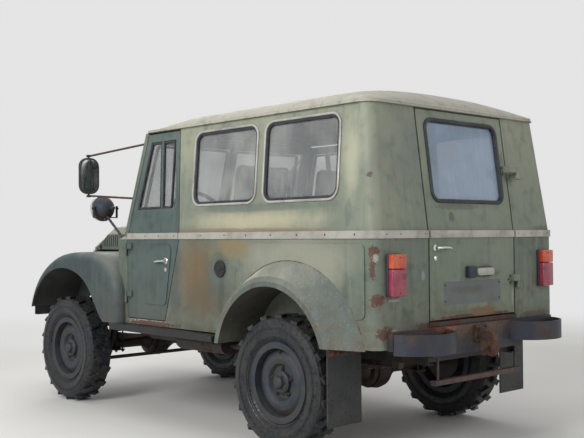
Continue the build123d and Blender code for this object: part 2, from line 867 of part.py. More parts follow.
def door_hinge_half(middle_z, side):
    """One half of a left door hinge: side -1 is the post's lower half with its pin, 1 is the door's."""
    low = middle_z + knuckle_play / 2 if side > 0 else middle_z - knuckle_length
    height = knuckle_length - (knuckle_play / 2 if side > 0 else 0.0)
    reach = 62.0 if side > 0 else 22.0
    leaf_y = (body_half_width + door_hinge_y) / 2 - 1.0
    with BuildPart() as half:
        with BuildSketch(Plane.XY.offset(low)):
            with Locations((door_hinge_x, door_hinge_y)):
                Circle(door_knuckle_radius)
            with Locations((door_hinge_x - side * reach / 2, leaf_y)):
                Rectangle(reach, door_hinge_y - body_half_width)
        extrude(amount=height)
        with BuildSketch(Plane.XY.offset(low)):
            with Locations((door_hinge_x, door_hinge_y)):
                if side > 0:
                    Circle(pin_bore - 2.0)
                else:
                    Circle(pin_radius - 2.0)
        if side > 0:
            extrude(amount=height, mode=Mode.SUBTRACT)
        else:
            extrude(amount=2 * knuckle_length)
    return half.part


def bonnet_hinge_half(side, part_side):
    """One half of a bonnet hinge at the side given: part_side -1 lies on the cowl, 1 on the bonnet."""
    start_y = side * bonnet_hinge_y + (knuckle_play / 2 if part_side > 0 else -knuckle_length)
    width = knuckle_length - (knuckle_play / 2 if part_side > 0 else 0.0)
    leaf_drop = bonnet_hinge_z - bonnet_rear_top + 14.0
    with BuildPart() as half:
        with BuildSketch(Plane.XZ.offset(-start_y)):
            with Locations((bonnet_hinge_x, bonnet_hinge_z)):
                Circle(8.0)
            with Locations((bonnet_hinge_x + part_side * 20.0, bonnet_hinge_z - 2.0)):
                Rectangle(40.0, 8.0)
            with Locations(
                (bonnet_hinge_x + part_side * 31.0, bonnet_hinge_z + 2.0 - leaf_drop / 2)
            ):
                Rectangle(18.0, leaf_drop)
        extrude(amount=-width)
    return half.part


# Cowl: arched scuttle with the door posts, firewall and dashboard
axis_dir = Vector(
    -math.cos(math.radians(steering_angle)), 0.0, math.sin(math.radians(steering_angle))
)
steer_centre = Vector(steering_x, steering_y, steering_z)
column_plane = Plane(origin=steer_centre - axis_dir * column_drop, z_dir=axis_dir)
column_length = (
    floor_front_x
    - column_plane.origin.X
    - column_radius * math.sin(math.radians(steering_angle))
) / math.cos(math.radians(steering_angle))


def cowl_profile(grow):
    """Cross-section of the cowl as a flat sketch, grown outwards by grow."""
    with BuildSketch() as outline:
        with BuildLine():
            Polyline(
                (-body_half_width - grow, belt_bottom + grow),
                (-body_half_width - grow, tub_bottom - grow),
                (body_half_width + grow, tub_bottom - grow),
                (body_half_width + grow, belt_bottom + grow),
            )
            ThreePointArc(
                (body_half_width + grow, belt_bottom + grow),
                (0.0, cowl_crown_z + grow),
                (-body_half_width - grow, belt_bottom + grow),
            )
        make_face()
    return outline.sketch_local


with BuildPart() as cowl:
    with BuildSketch(Plane.YZ.offset(cowl_rear_x)):
        add(cowl_profile(0.0))
    extrude(amount=cowl_front_x - cowl_rear_x)
    with BuildSketch(Plane.YZ.offset(cowl_rear_x)):
        add(cowl_profile(-panel))
    extrude(amount=cowl_front_x - cowl_rear_x - firewall_thickness, mode=Mode.SUBTRACT)
    with BuildSketch(Plane.XY.offset(tub_bottom)):
        with Locations(((cowl_rear_x + cowl_front_x - firewall_thickness) / 2, 0.0)):
            Rectangle(
                cowl_front_x - cowl_rear_x - firewall_thickness,
                2 * (body_half_width - panel),
            )
    extrude(amount=panel, mode=Mode.SUBTRACT)
    with BuildSketch(Plane.YZ.offset(cowl_rear_x - dash_depth)):
        add(cowl_profile(2.0 - panel))
        with Locations((0.0, dash_low + 250.0)):
            Rectangle(2 * dash_half, 500.0, mode=Mode.INTERSECT)
    extrude(amount=dash_depth + 24.0)
    with BuildSketch(column_plane):
        Circle(column_radius + seat_gap)
    extrude(amount=-column_length - 80.0, mode=Mode.SUBTRACT)
    for middle_z in door_hinge_heights:
        add(door_hinge_half(middle_z, -1))
        add(mirror(door_hinge_half(middle_z, -1), about=Plane.XZ))
    for side in (-1, 1):
        add(bonnet_hinge_half(side, -1))
cowl.part.label = "cowl"
export_step(cowl.part, "parts/cowl.step")

# Windscreen frame: leaning plate with two panes, standing on the cowl
screen_lean = math.degrees(math.atan2(screen_foot_x - screen_head_x, roof_seam_z - screen_foot_z))
screen_length = math.hypot(screen_foot_x - screen_head_x, roof_seam_z - screen_foot_z)
screen_plane = Plane(
    origin=(screen_foot_x, 0, screen_foot_z),
    x_dir=(0, 1, 0),
    z_dir=(math.cos(math.radians(screen_lean)), 0, math.sin(math.radians(screen_lean))),
)
slope = math.cos(math.radians(screen_lean))
pane_low = (screen_sill_z - screen_foot_z) / slope
pane_high = (screen_head_z - screen_foot_z) / slope
foot_half = body_half_width - 3.0
head_half = roof_half_width - 2.0
pane_half_low = foot_half - 78.0
pane_half_high = head_half - 60.0


def pane_outline(side, inset):
    """One windscreen pane as a flat sketch, drawn in by inset; side is 1 on the left."""
    with BuildSketch() as outline:
        with BuildLine():
            Polyline(
                (side * (screen_post / 2 + inset), pane_low + inset),
                (side * (pane_half_low - inset), pane_low + inset),
                (side * (pane_half_high - inset), pane_high - inset),
                (side * (screen_post / 2 + inset), pane_high - inset),
                close=True,
            )
        make_face()
    return outline.sketch_local


with BuildPart() as windscreen_frame:
    with BuildSketch(screen_plane):
        with BuildLine():
            Polyline(
                (-foot_half, 0.0),
                (foot_half, 0.0),
                (head_half, screen_length + 8.0),
                (-head_half, screen_length + 8.0),
                close=True,
            )
        make_face()
    extrude(amount=-screen_thickness)
    with BuildSketch(screen_plane) as panes:
        add(pane_outline(1, 0.0))
        add(pane_outline(-1, 0.0))
    extrude(amount=-screen_thickness, mode=Mode.SUBTRACT)
    with BuildSketch(Plane.XY.offset(roof_seam_z)):
        Rectangle(wide_span, wide_span)
    extrude(amount=100.0, mode=Mode.SUBTRACT)
    with BuildSketch(Plane.YZ.offset(cowl_rear_x - 60.0)):
        add(cowl_profile(seat_gap))
    extrude(amount=400.0, mode=Mode.SUBTRACT)
windscreen_frame.part.label = "windscreen_frame"
export_step(windscreen_frame.part, "parts/windscreen_frame.step")

# Fixed glass: the windscreen's two panes and the four side panes
with BuildPart() as side_panes:
    add(glass_outer)
    add(glass_inner, mode=Mode.SUBTRACT)
    with BuildSketch(Plane.XZ.offset(-body_half_width - 1.0)):
        for front_x, rear_x, low, high in side_windows:
            with Locations(((front_x + rear_x) / 2, (low + high) / 2)):
                RectangleRounded(
                    front_x - rear_x - 2 * seat_gap,
                    high - low - 2 * seat_gap,
                    window_corner - seat_gap,
                )
    extrude(amount=2 * body_half_width + 2.0, mode=Mode.INTERSECT)
with BuildPart() as fixed_glass:
    add(side_panes.part)
    with BuildSketch(screen_plane.offset(-glass_inset)):
        add(pane_outline(1, seat_gap))
        add(pane_outline(-1, seat_gap))
    extrude(amount=-glass_thickness)
fixed_glass.part.label = "fixed_glass"
export_step(fixed_glass.part, "parts/fixed_glass.step")

# Roof: shallow hipped crown over a rim that rests on the walls and the windscreen
roof_front_x = 372.0
roof_overhang = 14.0
roof_rim = 16.0
roof_skin = 18.0
roof_ledge = 60.0
roof_header = 160.0
roof_crown = 125.0
roof_arch = [  # inset from the rim across the car, share of the crown reached there
    (0.0, 0.0),
    (22.0, 0.26),
    (60.0, 0.42),
    (160.0, 0.64),
    (260.0, 0.79),
    (400.0, 0.91),
]
roof_rear_rise = [  # inset from the rear edge, share of the arch reached there
    (0.0, 0.0),
    (14.0, 0.2),
    (34.0, 0.36),
    (60.0, 0.51),
    (88.0, 0.63),
    (130.0, 0.79),
    (180.0, 0.91),
    (240.0, 0.98),
    (300.0, 1.0),
]
roof_front_rise = [  # inset from the front edge, share of the arch reached there
    (0.0, 0.0),
    (60.0, 0.02),
    (120.0, 0.1),
    (180.0, 0.24),
    (240.0, 0.42),
    (300.0, 0.61),
    (360.0, 0.78),
    (430.0, 0.92),
    (520.0, 1.0),
]


def roof_form(skin):
    """Crowned roof solid, brought in by skin on every side."""
    half = roof_half_width + roof_overhang - skin
    rear = roof_rear_x - roof_overhang + skin
    front = roof_front_x - skin
    stations = [(rear + run, share) for run, share in roof_rear_rise]
    stations += [(front - run, share) for run, share in reversed(roof_front_rise)]
    edge_z = roof_seam_z + roof_rim - skin
    foot_z = roof_seam_z - skin
    with BuildPart() as form:
        for x, share in stations:
            rise = share * (roof_crown - roof_rim)
            arch = [(half - inset, edge_z + part * rise) for inset, part in roof_arch]
            points = arch + [(0.0, edge_z + rise)] + [(-y, z) for y, z in reversed(arch)]
            with BuildSketch(Plane.YZ.offset(x)):
                with BuildLine():
                    Spline(*points)
                    Polyline(points[-1], (-half, foot_z), (half, foot_z), points[0])
                make_face()
        loft(ruled=True)
    return form.part


roof_outer = roof_form(0.0)
roof_inner = roof_form(roof_skin)
roof_length = roof_front_x - roof_rear_x + roof_overhang
roof_middle = (roof_front_x + roof_rear_x - roof_overhang) / 2
with BuildPart() as roof_hollow:
    add(roof_inner)
    with BuildSketch(Plane.XY.offset(roof_seam_z + roof_rim)):
        Rectangle(wide_span, wide_span)
    extrude(amount=2 * roof_crown, mode=Mode.INTERSECT)
with BuildPart() as roof:
    add(roof_outer)
    with BuildSketch(Plane.XY.offset(roof_seam_z)):
        with Locations((roof_middle, 0.0)):
            RectangleRounded(roof_length, 2 * (roof_half_width + roof_overhang), 90.0)
    extrude(amount=2 * roof_crown, mode=Mode.INTERSECT)
    add(roof_hollow.part, mode=Mode.SUBTRACT)
    with BuildSketch(Plane.XY.offset(roof_seam_z)):
        with Locations((roof_middle - (roof_header - roof_ledge) / 2, 0.0)):
            RectangleRounded(
                roof_length - roof_header - roof_ledge,
                2 * (roof_half_width + roof_overhang - roof_ledge),
                window_corner,
            )
    extrude(amount=roof_rim, mode=Mode.SUBTRACT)
roof.part.label = "roof"
export_step(roof.part, "parts/roof.step")

# Belt strips: pale rail over the joint of tub and hardtop, with the doors' pieces apart
strip_middle = (belt_bottom + belt_top) / 2


def strip_ring(z_low, z_high):
    """Rail of the belt strip all round the body, proud of the walls, from z_low to z_high."""
    with BuildPart() as ring:
        with BuildSketch(Plane.XY.offset(z_low)):
            with Locations(((body_rear_x + cab_front_x) / 2, 0.0)):
                RectangleRounded(
                    cab_front_x - body_rear_x + 2 * belt_proud,
                    2 * (body_half_width + belt_proud),
                    corner_radius * 0.9 + belt_proud,
                )
                RectangleRounded(
                    cab_front_x - body_rear_x + 2 * seat_gap,
                    2 * (body_half_width + seat_gap),
                    corner_radius * 0.9 + seat_gap,
                    mode=Mode.SUBTRACT,
                )
        extrude(amount=z_high - z_low)
    return ring.part


strip_form = strip_ring(belt_bottom, belt_top)
with BuildPart() as belt_strips:
    add(strip_form)
    with BuildSketch(Plane.XY.offset(belt_bottom)):
        with Locations((seam_x(strip_middle) - swing_gap + 1000.0, 0.0)):
            Rectangle(2000.0, 2000.0)
        with Locations((body_rear_x, 0.0)):
            Rectangle(200.0, 2 * (rear_door_half + rear_door_gap))
    extrude(amount=belt_top - belt_bottom, mode=Mode.SUBTRACT)
belt_strips.part.label = "belt_strips"
export_step(belt_strips.part, "parts/belt_strips.step")

# Front doors: lower panel with the leaning window frame above it

def pillar_x(z):
    """Front edge of the door at height z."""
    if z <= belt_bottom + 22.0:
        return door_front_x
    share = (z - belt_bottom - 22.0) / (door_top_z - belt_bottom - 22.0)
    return door_front_x + share * (pillar_top_x - door_front_x)


def door_outline(inset_front, inset_rear, low, high):
    """Side outline of the door's upper part as a flat sketch, from low to high."""
    with BuildSketch() as outline:
        with BuildLine():
            Polyline(
                (seam_x(low) + inset_rear, low),
                (seam_x(high) + inset_rear, high),
                (pillar_x(high) - inset_front, high),
                (pillar_x(low) - inset_front, low),
                close=True,
            )
        make_face()
    return outline.sketch_local


door_window = [door_frame + 6.0, door_frame, 1362.0, 1800.0]
with BuildPart() as upper_door:
    add(cab_outer)
    add(cab_inner, mode=Mode.SUBTRACT)
    with BuildSketch(Plane.XZ.offset(-body_half_width - 1.0)):
        with BuildLine():
            Polyline(
                (seam_x(belt_bottom), belt_bottom),
                (seam_x(door_top_z), door_top_z),
                (pillar_x(door_top_z), door_top_z),
                (pillar_x(belt_bottom + 22.0), belt_bottom + 22.0),
                (pillar_x(belt_bottom), belt_bottom),
                close=True,
            )
        make_face()
    extrude(amount=200.0, mode=Mode.INTERSECT)
    with BuildSketch(Plane.XZ.offset(-body_half_width - 1.0)):
        add(door_outline(*door_window))
    extrude(amount=200.0, mode=Mode.SUBTRACT)
with BuildPart() as quarter_bar:
    add(cab_outer)
    add(cab_form(glass_inset - seat_gap), mode=Mode.SUBTRACT)
    with BuildSketch(Plane.XZ.offset(-body_half_width - 1.0)):
        with BuildLine():
            Polyline(
                (quarter_bar_low - quarter_bar_width / 2, door_window[2] - 5.0),
                (quarter_bar_high - quarter_bar_width / 2, door_window[3] + 5.0),
                (quarter_bar_high + quarter_bar_width / 2, door_window[3] + 5.0),
                (quarter_bar_low + quarter_bar_width / 2, door_window[2] - 5.0),
                close=True,
            )
        make_face()
    extrude(amount=200.0, mode=Mode.INTERSECT)
with BuildPart() as door_left:
    add(upper_door.part)
    add(quarter_bar.part)
    with BuildSketch(Plane.XZ.offset(-body_half_width)):
        with BuildLine():
            Polyline(
                (seam_x(door_low_z), door_low_z),
                (seam_x(belt_bottom), belt_bottom),
                (door_front_x, belt_bottom),
                (door_front_x, door_low_z),
                close=True,
            )
        make_face()
    extrude(amount=panel)
    with BuildSketch(Plane.XZ.offset(-body_half_width)) as raised:
        with BuildLine():
            Polyline(*door_pressing, close=True)
        make_face()
        fillet(raised.vertices(), radius=pressing_corner)
    extrude(amount=-pressing_rise)
    for middle_z in door_hinge_heights:
        add(door_hinge_half(middle_z, 1))
door_left.part.label = "door_left"
export_step(door_left.part, "parts/door_left.step")
with BuildPart() as door_right:
    mirror(door_left.part, about=Plane.XZ)
door_right.part.label = "door_right"
export_step(door_right.part, "parts/door_right.step")

with BuildPart() as door_glass_left:
    add(glass_outer)
    add(glass_inner, mode=Mode.SUBTRACT)
    with BuildSketch(Plane.XZ.offset(-body_half_width - 1.0)):
        add(
            door_outline(
                door_window[0] + seat_gap,
                door_window[1] + seat_gap,
                door_window[2] + seat_gap,
                door_window[3] - seat_gap,
            )
        )
    extrude(amount=200.0, mode=Mode.INTERSECT)
door_glass_left.part.label = "door_glass_left"
export_step(door_glass_left.part, "parts/door_glass_left.step")
with BuildPart() as door_glass_right:
    mirror(door_glass_left.part, about=Plane.XZ)
door_glass_right.part.label = "door_glass_right"
export_step(door_glass_right.part, "parts/door_glass_right.step")

# Door fittings: belt strip and handle of the left door
handle_x = 50.0
handle_z = 1031.0
with BuildPart() as door_fittings_left:
    add(strip_form)
    with BuildSketch(Plane.XZ.offset(-body_half_width - 40.0)):
        with BuildLine():
            Polyline(
                (seam_x(belt_bottom), belt_bottom),
                (seam_x(belt_top), belt_top),
                (door_front_x, belt_top),
                (door_front_x, belt_bottom),
                close=True,
            )
        make_face()
    extrude(amount=80.0, mode=Mode.INTERSECT)
    handle_y = body_half_width + pressing_rise + seat_gap
    with BuildSketch(Plane.XZ.offset(-handle_y)):
        with Locations((handle_x, handle_z)):
            Circle(20.0)
    extrude(amount=-14.0)
    with BuildSketch(Plane.XZ.offset(-handle_y - 12.0)):
        with Locations((handle_x + 40.0, handle_z - 4.0)):
            RectangleRounded(120.0, 22.0, 8.0)
    extrude(amount=-16.0)
door_fittings_left.part.label = "door_fittings_left"
export_step(door_fittings_left.part, "parts/door_fittings_left.step")
with BuildPart() as door_fittings_right:
    mirror(door_fittings_left.part, about=Plane.XZ)
door_fittings_right.part.label = "door_fittings_right"
export_step(door_fittings_right.part, "parts/door_fittings_right.step")

# Rear door: flat lower panel with the leaning upper part and its window
with BuildPart() as upper_rear_door:
    add(cab_outer)
    add(cab_inner, mode=Mode.SUBTRACT)
    with BuildSketch(Plane.YZ.offset(body_rear_x - 1.0)):
        with Locations((0.0, (belt_bottom + rear_door_top) / 2)):
            Rectangle(2 * rear_door_half, rear_door_top - belt_bottom)
        with Locations((0.0, (rear_window_low + rear_window_high) / 2)):
            RectangleRounded(
                2 * rear_window_half,
                rear_window_high - rear_window_low,
                rear_window_corner,
                mode=Mode.SUBTRACT,
            )
    extrude(amount=300.0, mode=Mode.INTERSECT)
with BuildPart() as rear_door:
    add(upper_rear_door.part)
    with BuildSketch(Plane.YZ.offset(body_rear_x)):
        with Locations((0.0, (belt_bottom + rear_door_low) / 2)):
            Rectangle(2 * rear_door_half, belt_bottom - rear_door_low)
    extrude(amount=panel)
    for middle_z, wall_x in rear_hinges:
        add(rear_hinge_half(middle_z, wall_x, 1))
rear_door.part.label = "rear_door"
export_step(rear_door.part, "parts/rear_door.step")

with BuildPart() as rear_door_glass:
    add(glass_outer)
    add(glass_inner, mode=Mode.SUBTRACT)
    with BuildSketch(Plane.YZ.offset(body_rear_x - 1.0)):
        with Locations((0.0, (rear_window_low + rear_window_high) / 2)):
            RectangleRounded(
                2 * (rear_window_half - seat_gap),
                rear_window_high - rear_window_low - 2 * seat_gap,
                rear_window_corner - seat_gap,
            )
    extrude(amount=300.0, mode=Mode.INTERSECT)
rear_door_glass.part.label = "rear_door_glass"
export_step(rear_door_glass.part, "parts/rear_door_glass.step")

# Rear door fittings: belt strip, handle, plate lamp and hinge leaves
with BuildPart() as rear_door_fittings:
    add(strip_form)
    with BuildSketch(Plane.XY.offset(belt_bottom)):
        with Locations((body_rear_x, 0.0)):
            Rectangle(200.0, 2 * rear_door_half)
    extrude(amount=belt_top - belt_bottom, mode=Mode.INTERSECT)
    with BuildSketch(Plane.YZ.offset(body_rear_x - seat_gap)):
        with Locations((338.0, 1115.0)):
            Circle(15.0)
    extrude(amount=-20.0)
    with BuildSketch(Plane.YZ.offset(body_rear_x - seat_gap - 18.0)):
        with Locations((285.0, 1115.0)):
            RectangleRounded(130.0, 18.0, 6.0)
    extrude(amount=-14.0)
    with BuildSketch(Plane.YZ.offset(body_rear_x - seat_gap)):
        with Locations((-45.0, 985.0)):
            RectangleRounded(190.0, 62.0, 20.0)
    extrude(amount=-38.0)
rear_door_fittings.part.label = "rear_door_fittings"
export_step(rear_door_fittings.part, "parts/rear_door_fittings.step")

# Bonnet: crowned shell with louvred sides, hinged at the cowl
bonnet_rear_x = cowl_front_x + bonnet_gap
bonnet_sections = [  # x, half width, shoulder z, crown z
    (bonnet_rear_x, bonnet_rear_half, bonnet_rear_top - 62.0, bonnet_rear_top),
    (bonnet_mid_x, bonnet_front_half + 16.0, bonnet_mid_top - 62.0, bonnet_mid_top),
    (bonnet_front_x, bonnet_front_half, bonnet_front_top - 70.0, bonnet_front_top),
]


def bonnet_form(skin, drop):
    """Bonnet solid from its lower edge up, drawn in by skin, with its foot lowered by drop."""
    with BuildPart() as form:
        for x, half, shoulder, crown in bonnet_sections:
            with BuildSketch(Plane.YZ.offset(x)):
                with BuildLine():
                    Polyline(
                        (-half + skin, shoulder - 30.0),
                        (-half + skin, bonnet_low_z - drop),
                        (half - skin, bonnet_low_z - drop),
                        (half - skin, shoulder - 30.0),
                        (half - 70.0 - skin * 0.4, shoulder + 26.0 - skin),
                    )
                    ThreePointArc(
                        (half - 70.0 - skin * 0.4, shoulder + 26.0 - skin),
                        (0.0, crown - skin),
                        (-half + 70.0 + skin * 0.4, shoulder + 26.0 - skin),
                    )
                    Line(
                        (-half + 70.0 + skin * 0.4, shoulder + 26.0 - skin),
                        (-half + skin, shoulder - 30.0),
                    )
                make_face()
        loft(ruled=True)
    return form.part


bonnet_outer = bonnet_form(0.0, 0.0)
bonnet_inner = bonnet_form(bonnet_skin, 5.0)
with BuildPart() as bonnet:
    add(bonnet_outer)
    add(bonnet_inner, mode=Mode.SUBTRACT)
    with BuildSketch(Plane.XZ.offset(-600.0)):
        for slot in range(louvre_count):
            with Locations(
                (louvre_first_x + slot * louvre_pitch, (louvre_low + louvre_high) / 2)
            ):
                Rectangle(louvre_width, louvre_high - louvre_low)
    extrude(amount=1200.0, mode=Mode.SUBTRACT)
    for side in (-1, 1):
        add(bonnet_hinge_half(side, 1))
bonnet.part.label = "bonnet"
export_step(bonnet.part, "parts/bonnet.step")

# Front wings: arched guards with a top, an outer skirt and an inner apron


def wing_section(shrink, foot_z):
    """Side outline of the front wing as a flat sketch, drawn in by shrink, down to foot_z."""
    points = []
    for index, (x, z) in enumerate(wing_top):
        before = wing_top[max(index - 1, 0)]
        after = wing_top[min(index + 1, len(wing_top) - 1)]
        run = Vector(after[0] - before[0], after[1] - before[1]).normalized()
        points.append((x + shrink * run.Y, z - shrink * run.X))
    with BuildSketch() as outline:
        with BuildLine():
            Spline(*points)
            Polyline(
                points[-1], (points[-1][0], foot_z), (points[0][0], foot_z), points[0]
            )
        make_face()
    return outline.sketch_local


def wing_form(inset):
    """Solid of the left front wing with its rounded outer edge, drawn in by inset all round."""
    round_radius = wing_crown - inset
    foot_z = wing_foot_z - 2 * inset
    with BuildPart() as form:
        with BuildSketch(Plane.XZ.offset(-wing_inner_y - inset)):
            add(wing_section(inset, foot_z))
        extrude(amount=-(flare_y - wing_crown - wing_inner_y - inset))
        for turn in wing_round_steps:
            shrink = inset + round_radius * (1 - math.cos(math.radians(turn)))
            y = flare_y - wing_crown + round_radius * math.sin(math.radians(turn))
            with BuildSketch(Plane.XZ.offset(-y)):
                add(wing_section(shrink, foot_z))
        loft()
    return form.part


with BuildPart() as front_wings:
    add(wing_form(0.0))
    add(wing_form(wing_skin), mode=Mode.SUBTRACT)
    with BuildSketch(Plane.XZ.offset(-flare_y - cut_margin)):
        with BuildLine():
            Spline(*wing_lip)
            Polyline(
                wing_lip[-1],
                (wing_nose_x + cut_margin, wing_nose_z),
                (wing_nose_x + cut_margin, wing_foot_z - 4 * cut_margin),
                (wing_lip[0][0], wing_foot_z - 4 * cut_margin),
                wing_lip[0],
            )
        make_face()
    extrude(amount=flare_y + cut_margin - wing_inner_y - wing_skin, mode=Mode.SUBTRACT)
    with BuildSketch(Plane.XZ.offset(-wing_inner_y - wing_skin)):
        with Locations((front_axle_x, hub_z)):
            Circle(wing_apron_radius)
    extrude(amount=wing_skin, mode=Mode.SUBTRACT)
    with BuildSketch(Plane.XY.offset(tub_bottom - 40.0)):
        with Locations((cowl_front_x - 150.0 + seat_gap, body_half_width / 2)):
            Rectangle(300.0, body_half_width + 2 * seat_gap)
    extrude(amount=700.0, mode=Mode.SUBTRACT)
    with BuildSketch(Plane.XY.offset(tub_bottom)):
        Rectangle(wide_span, wide_span)
    extrude(amount=-400.0, mode=Mode.SUBTRACT)
    mirror(about=Plane.XZ)
front_wings.part.label = "front_wings"
export_step(front_wings.part, "parts/front_wings.step")

# Rear fenders: turned arches flared out over the wheels, with the wheelhouses inside
with BuildPart() as rear_fenders:
    with BuildSketch(Plane.XZ.offset(-body_half_width - seat_gap)):
        with Locations((seam_centre_x, arch_z)):
            Circle(seam_radius)
    with BuildSketch(Plane.XZ.offset(-arch_crest_y)):
        with Locations((crest_centre_x, arch_z)):
            Circle(arch_crest)
    loft()
    with BuildSketch(Plane.XZ.offset(-arch_crest_y)):
        with Locations((crest_centre_x, arch_z)):
            Circle(arch_crest)
    with BuildSketch(Plane.XZ.offset(-flare_y)):
        with Locations((arch_x - 2.0, arch_z)):
            Circle(arch_radius + 16.0)
    loft()
    with BuildSketch(Plane.XZ.offset(-body_half_width - seat_gap)):
        with Locations((arch_x, arch_z)):
            Circle(arch_radius)
    extrude(amount=body_half_width + seat_gap - arch_inner_y)
    with BuildSketch(Plane.XZ.offset(-flare_y - 1.0)):
        with Locations((arch_x, arch_z)):
            Circle(arch_radius - 12.0)
    extrude(amount=flare_y + 1.0 - arch_inner_y - 12.0, mode=Mode.SUBTRACT)
    with BuildSketch(Plane.XY.offset(arch_foot_z)):
        with Locations((arch_x, arch_inner_y)):
            Rectangle(wide_span, wide_span)
    extrude(amount=-2000.0, mode=Mode.SUBTRACT)
    with BuildSketch(Plane.XY.offset(arch_rear_foot_z)):
        with Locations((arch_x - 1000.0, arch_inner_y)):
            Rectangle(2000.0, 2000.0)
    extrude(amount=-200.0, mode=Mode.SUBTRACT)
    mirror(about=Plane.XZ)
rear_fenders.part.label = "rear_fenders"
export_step(rear_fenders.part, "parts/rear_fenders.step")

# Running boards between the wings
with BuildPart() as running_boards:
    with BuildSketch(Plane.XZ.offset(-flare_y)):
        with BuildLine():
            Polyline(
                (board_front_x, board_top),
                (board_rear_x, board_top - 10.0),
                (board_rear_x, board_top - board_height),
                (board_front_x, board_top - board_height),
                close=True,
            )
        make_face()
    extrude(amount=flare_y - board_inner_y)
    with BuildSketch(Plane.XZ.offset(-flare_y + 6.0)):
        with BuildLine():
            Polyline(
                (board_front_x - 6.0, board_top - 6.0),
                (board_rear_x + 6.0, board_top - 16.0),
                (board_rear_x + 6.0, board_top - board_height - 1.0),
                (board_front_x - 6.0, board_top - board_height - 1.0),
                close=True,
            )
        make_face()
    extrude(amount=flare_y - board_inner_y - 12.0, mode=Mode.SUBTRACT)
    mirror(about=Plane.XZ)
running_boards.part.label = "running_boards"
export_step(running_boards.part, "parts/running_boards.step")

# Grille panel between the wings, with upright slots
with BuildPart() as grille_panel:
    with BuildSketch(Plane.YZ.offset(grille_x)):
        with BuildLine():
            Polyline(
                (-grille_half, grille_low),
                (grille_half, grille_low),
                (grille_half, bonnet_low_z - 20.0),
                (bonnet_front_half, bonnet_low_z),
                (bonnet_front_half, bonnet_front_top - 100.0),
                (bonnet_front_half - 70.0, bonnet_front_top - 44.0),
            )
            ThreePointArc(
                (bonnet_front_half - 70.0, bonnet_front_top - 44.0),
                (0.0, bonnet_front_top),
                (-bonnet_front_half + 70.0, bonnet_front_top - 44.0),
            )
            Polyline(
                (-bonnet_front_half + 70.0, bonnet_front_top - 44.0),
                (-bonnet_front_half, bonnet_front_top - 100.0),
                (-bonnet_front_half, bonnet_low_z),
                (-grille_half, bonnet_low_z - 20.0),
                (-grille_half, grille_low),
            )
        make_face()
        for slot in range(grille_slots):
            with Locations(
                (
                    (slot - (grille_slots - 1) / 2) * grille_slot_pitch,
                    (grille_slot_low + grille_slot_high) / 2,
                )
            ):
                SlotOverall(
                    grille_slot_high - grille_slot_low,
                    grille_slot_width,
                    rotation=90.0,
                    mode=Mode.SUBTRACT,
                )
    extrude(amount=grille_depth)
    with BuildSketch(Plane.XY.offset(rail_top + seat_gap)):
        with Locations(
            (grille_x + grille_depth / 2, rail_y), (grille_x + grille_depth / 2, -rail_y)
        ):
            Rectangle(grille_depth, rail_width)
    extrude(amount=grille_low - rail_top)
grille_panel.part.label = "grille_panel"
export_step(grille_panel.part, "parts/grille_panel.step")

# Headlamps: round bowls with domed lenses on the grille panel
lamp_back_x = grille_x + grille_depth + seat_gap
lens_x = lamp_back_x + headlamp_depth
lens_radius = headlamp_radius - 5.0
lens_sphere = (lens_radius**2 + lens_rise**2) / (2 * lens_rise)
with BuildPart() as headlamps:
    with BuildSketch(Plane.XY.offset(headlamp_z)):
        with BuildLine():
            Polyline(
                (lamp_back_x, headlamp_y),
                (lamp_back_x, headlamp_y + 0.86 * headlamp_radius),
                (lamp_back_x + 0.6 * headlamp_depth, headlamp_y + headlamp_radius),
                (lens_x, headlamp_y + lens_radius),
            )
            RadiusArc(
                (lens_x, headlamp_y + lens_radius), (lens_x + lens_rise, headlamp_y), lens_sphere
            )
            Line((lens_x + lens_rise, headlamp_y), (lamp_back_x, headlamp_y))
        make_face()
    revolve(axis=Axis((lamp_back_x, headlamp_y, headlamp_z), (1, 0, 0)))
    mirror(about=Plane.XZ)
headlamps.part.label = "headlamps"
export_step(headlamps.part, "parts/headlamps.step")

# Front bumper: channel beam across the frame horns
with BuildPart() as front_bumper:
    with BuildSketch(Plane.XZ.offset(-bumper_half)):
        with Locations((bumper_x + bumper_depth / 2, bumper_z)):
            Rectangle(bumper_depth, bumper_height)
        with Locations((bumper_x + bumper_depth / 2 - 7.0, bumper_z)):
            Rectangle(bumper_depth, bumper_height - 14.0, mode=Mode.SUBTRACT)
    extrude(amount=2 * bumper_half)
front_bumper.part.label = "front_bumper"
export_step(front_bumper.part, "parts/front_bumper.step")

# Rear bumpers: bent bands on the beam behind the body, with the low step bar on its hangers
bumper_back_x = -overall_length / 2
beam_x = body_rear_x - seat_gap - beam_depth
with BuildPart() as rear_bumpers:
    with BuildSketch(Plane.YZ.offset(beam_x)):
        with Locations((0.0, (beam_low + beam_high) / 2)):
            Rectangle(2 * beam_half, beam_high - beam_low)
        with Locations((0.0, (beam_foot + beam_low) / 2)):
            Rectangle(2 * (rail_y + rail_width / 2), beam_low - beam_foot + 1.0)
    extrude(amount=beam_depth)
    for side in (-1, 1):
        near_y = side * bumperette_y - bumperette_width / 2
        far_y = side * bumperette_y + bumperette_width / 2
        with BuildSketch(Plane.XY.offset(bumperette_low)):
            with BuildLine():
                ThreePointArc(
                    (beam_x + 1.0, near_y),
                    (bumper_back_x, side * bumperette_y),
                    (beam_x + 1.0, far_y),
                )
                Line((beam_x + 1.0, far_y), (beam_x + 1.0, near_y))
            make_face()
            offset(amount=-bumperette_plate, mode=Mode.SUBTRACT)
        extrude(amount=bumperette_height)
    with BuildSketch(Plane.XZ.offset(-step_half)):
        with Locations((step_x, step_z)):
            Rectangle(34.0, 26.0)
    extrude(amount=2 * step_half)
    for side in (-1, 1):
        with BuildSketch(Plane.XY.offset(step_z)):
            with Locations((step_x, side * (step_half - 40.0))):
                Circle(7.0)
        extrude(amount=beam_foot + 30.0 - step_z)
rear_bumpers.part.label = "rear_bumpers"
export_step(rear_bumpers.part, "parts/rear_bumpers.step")

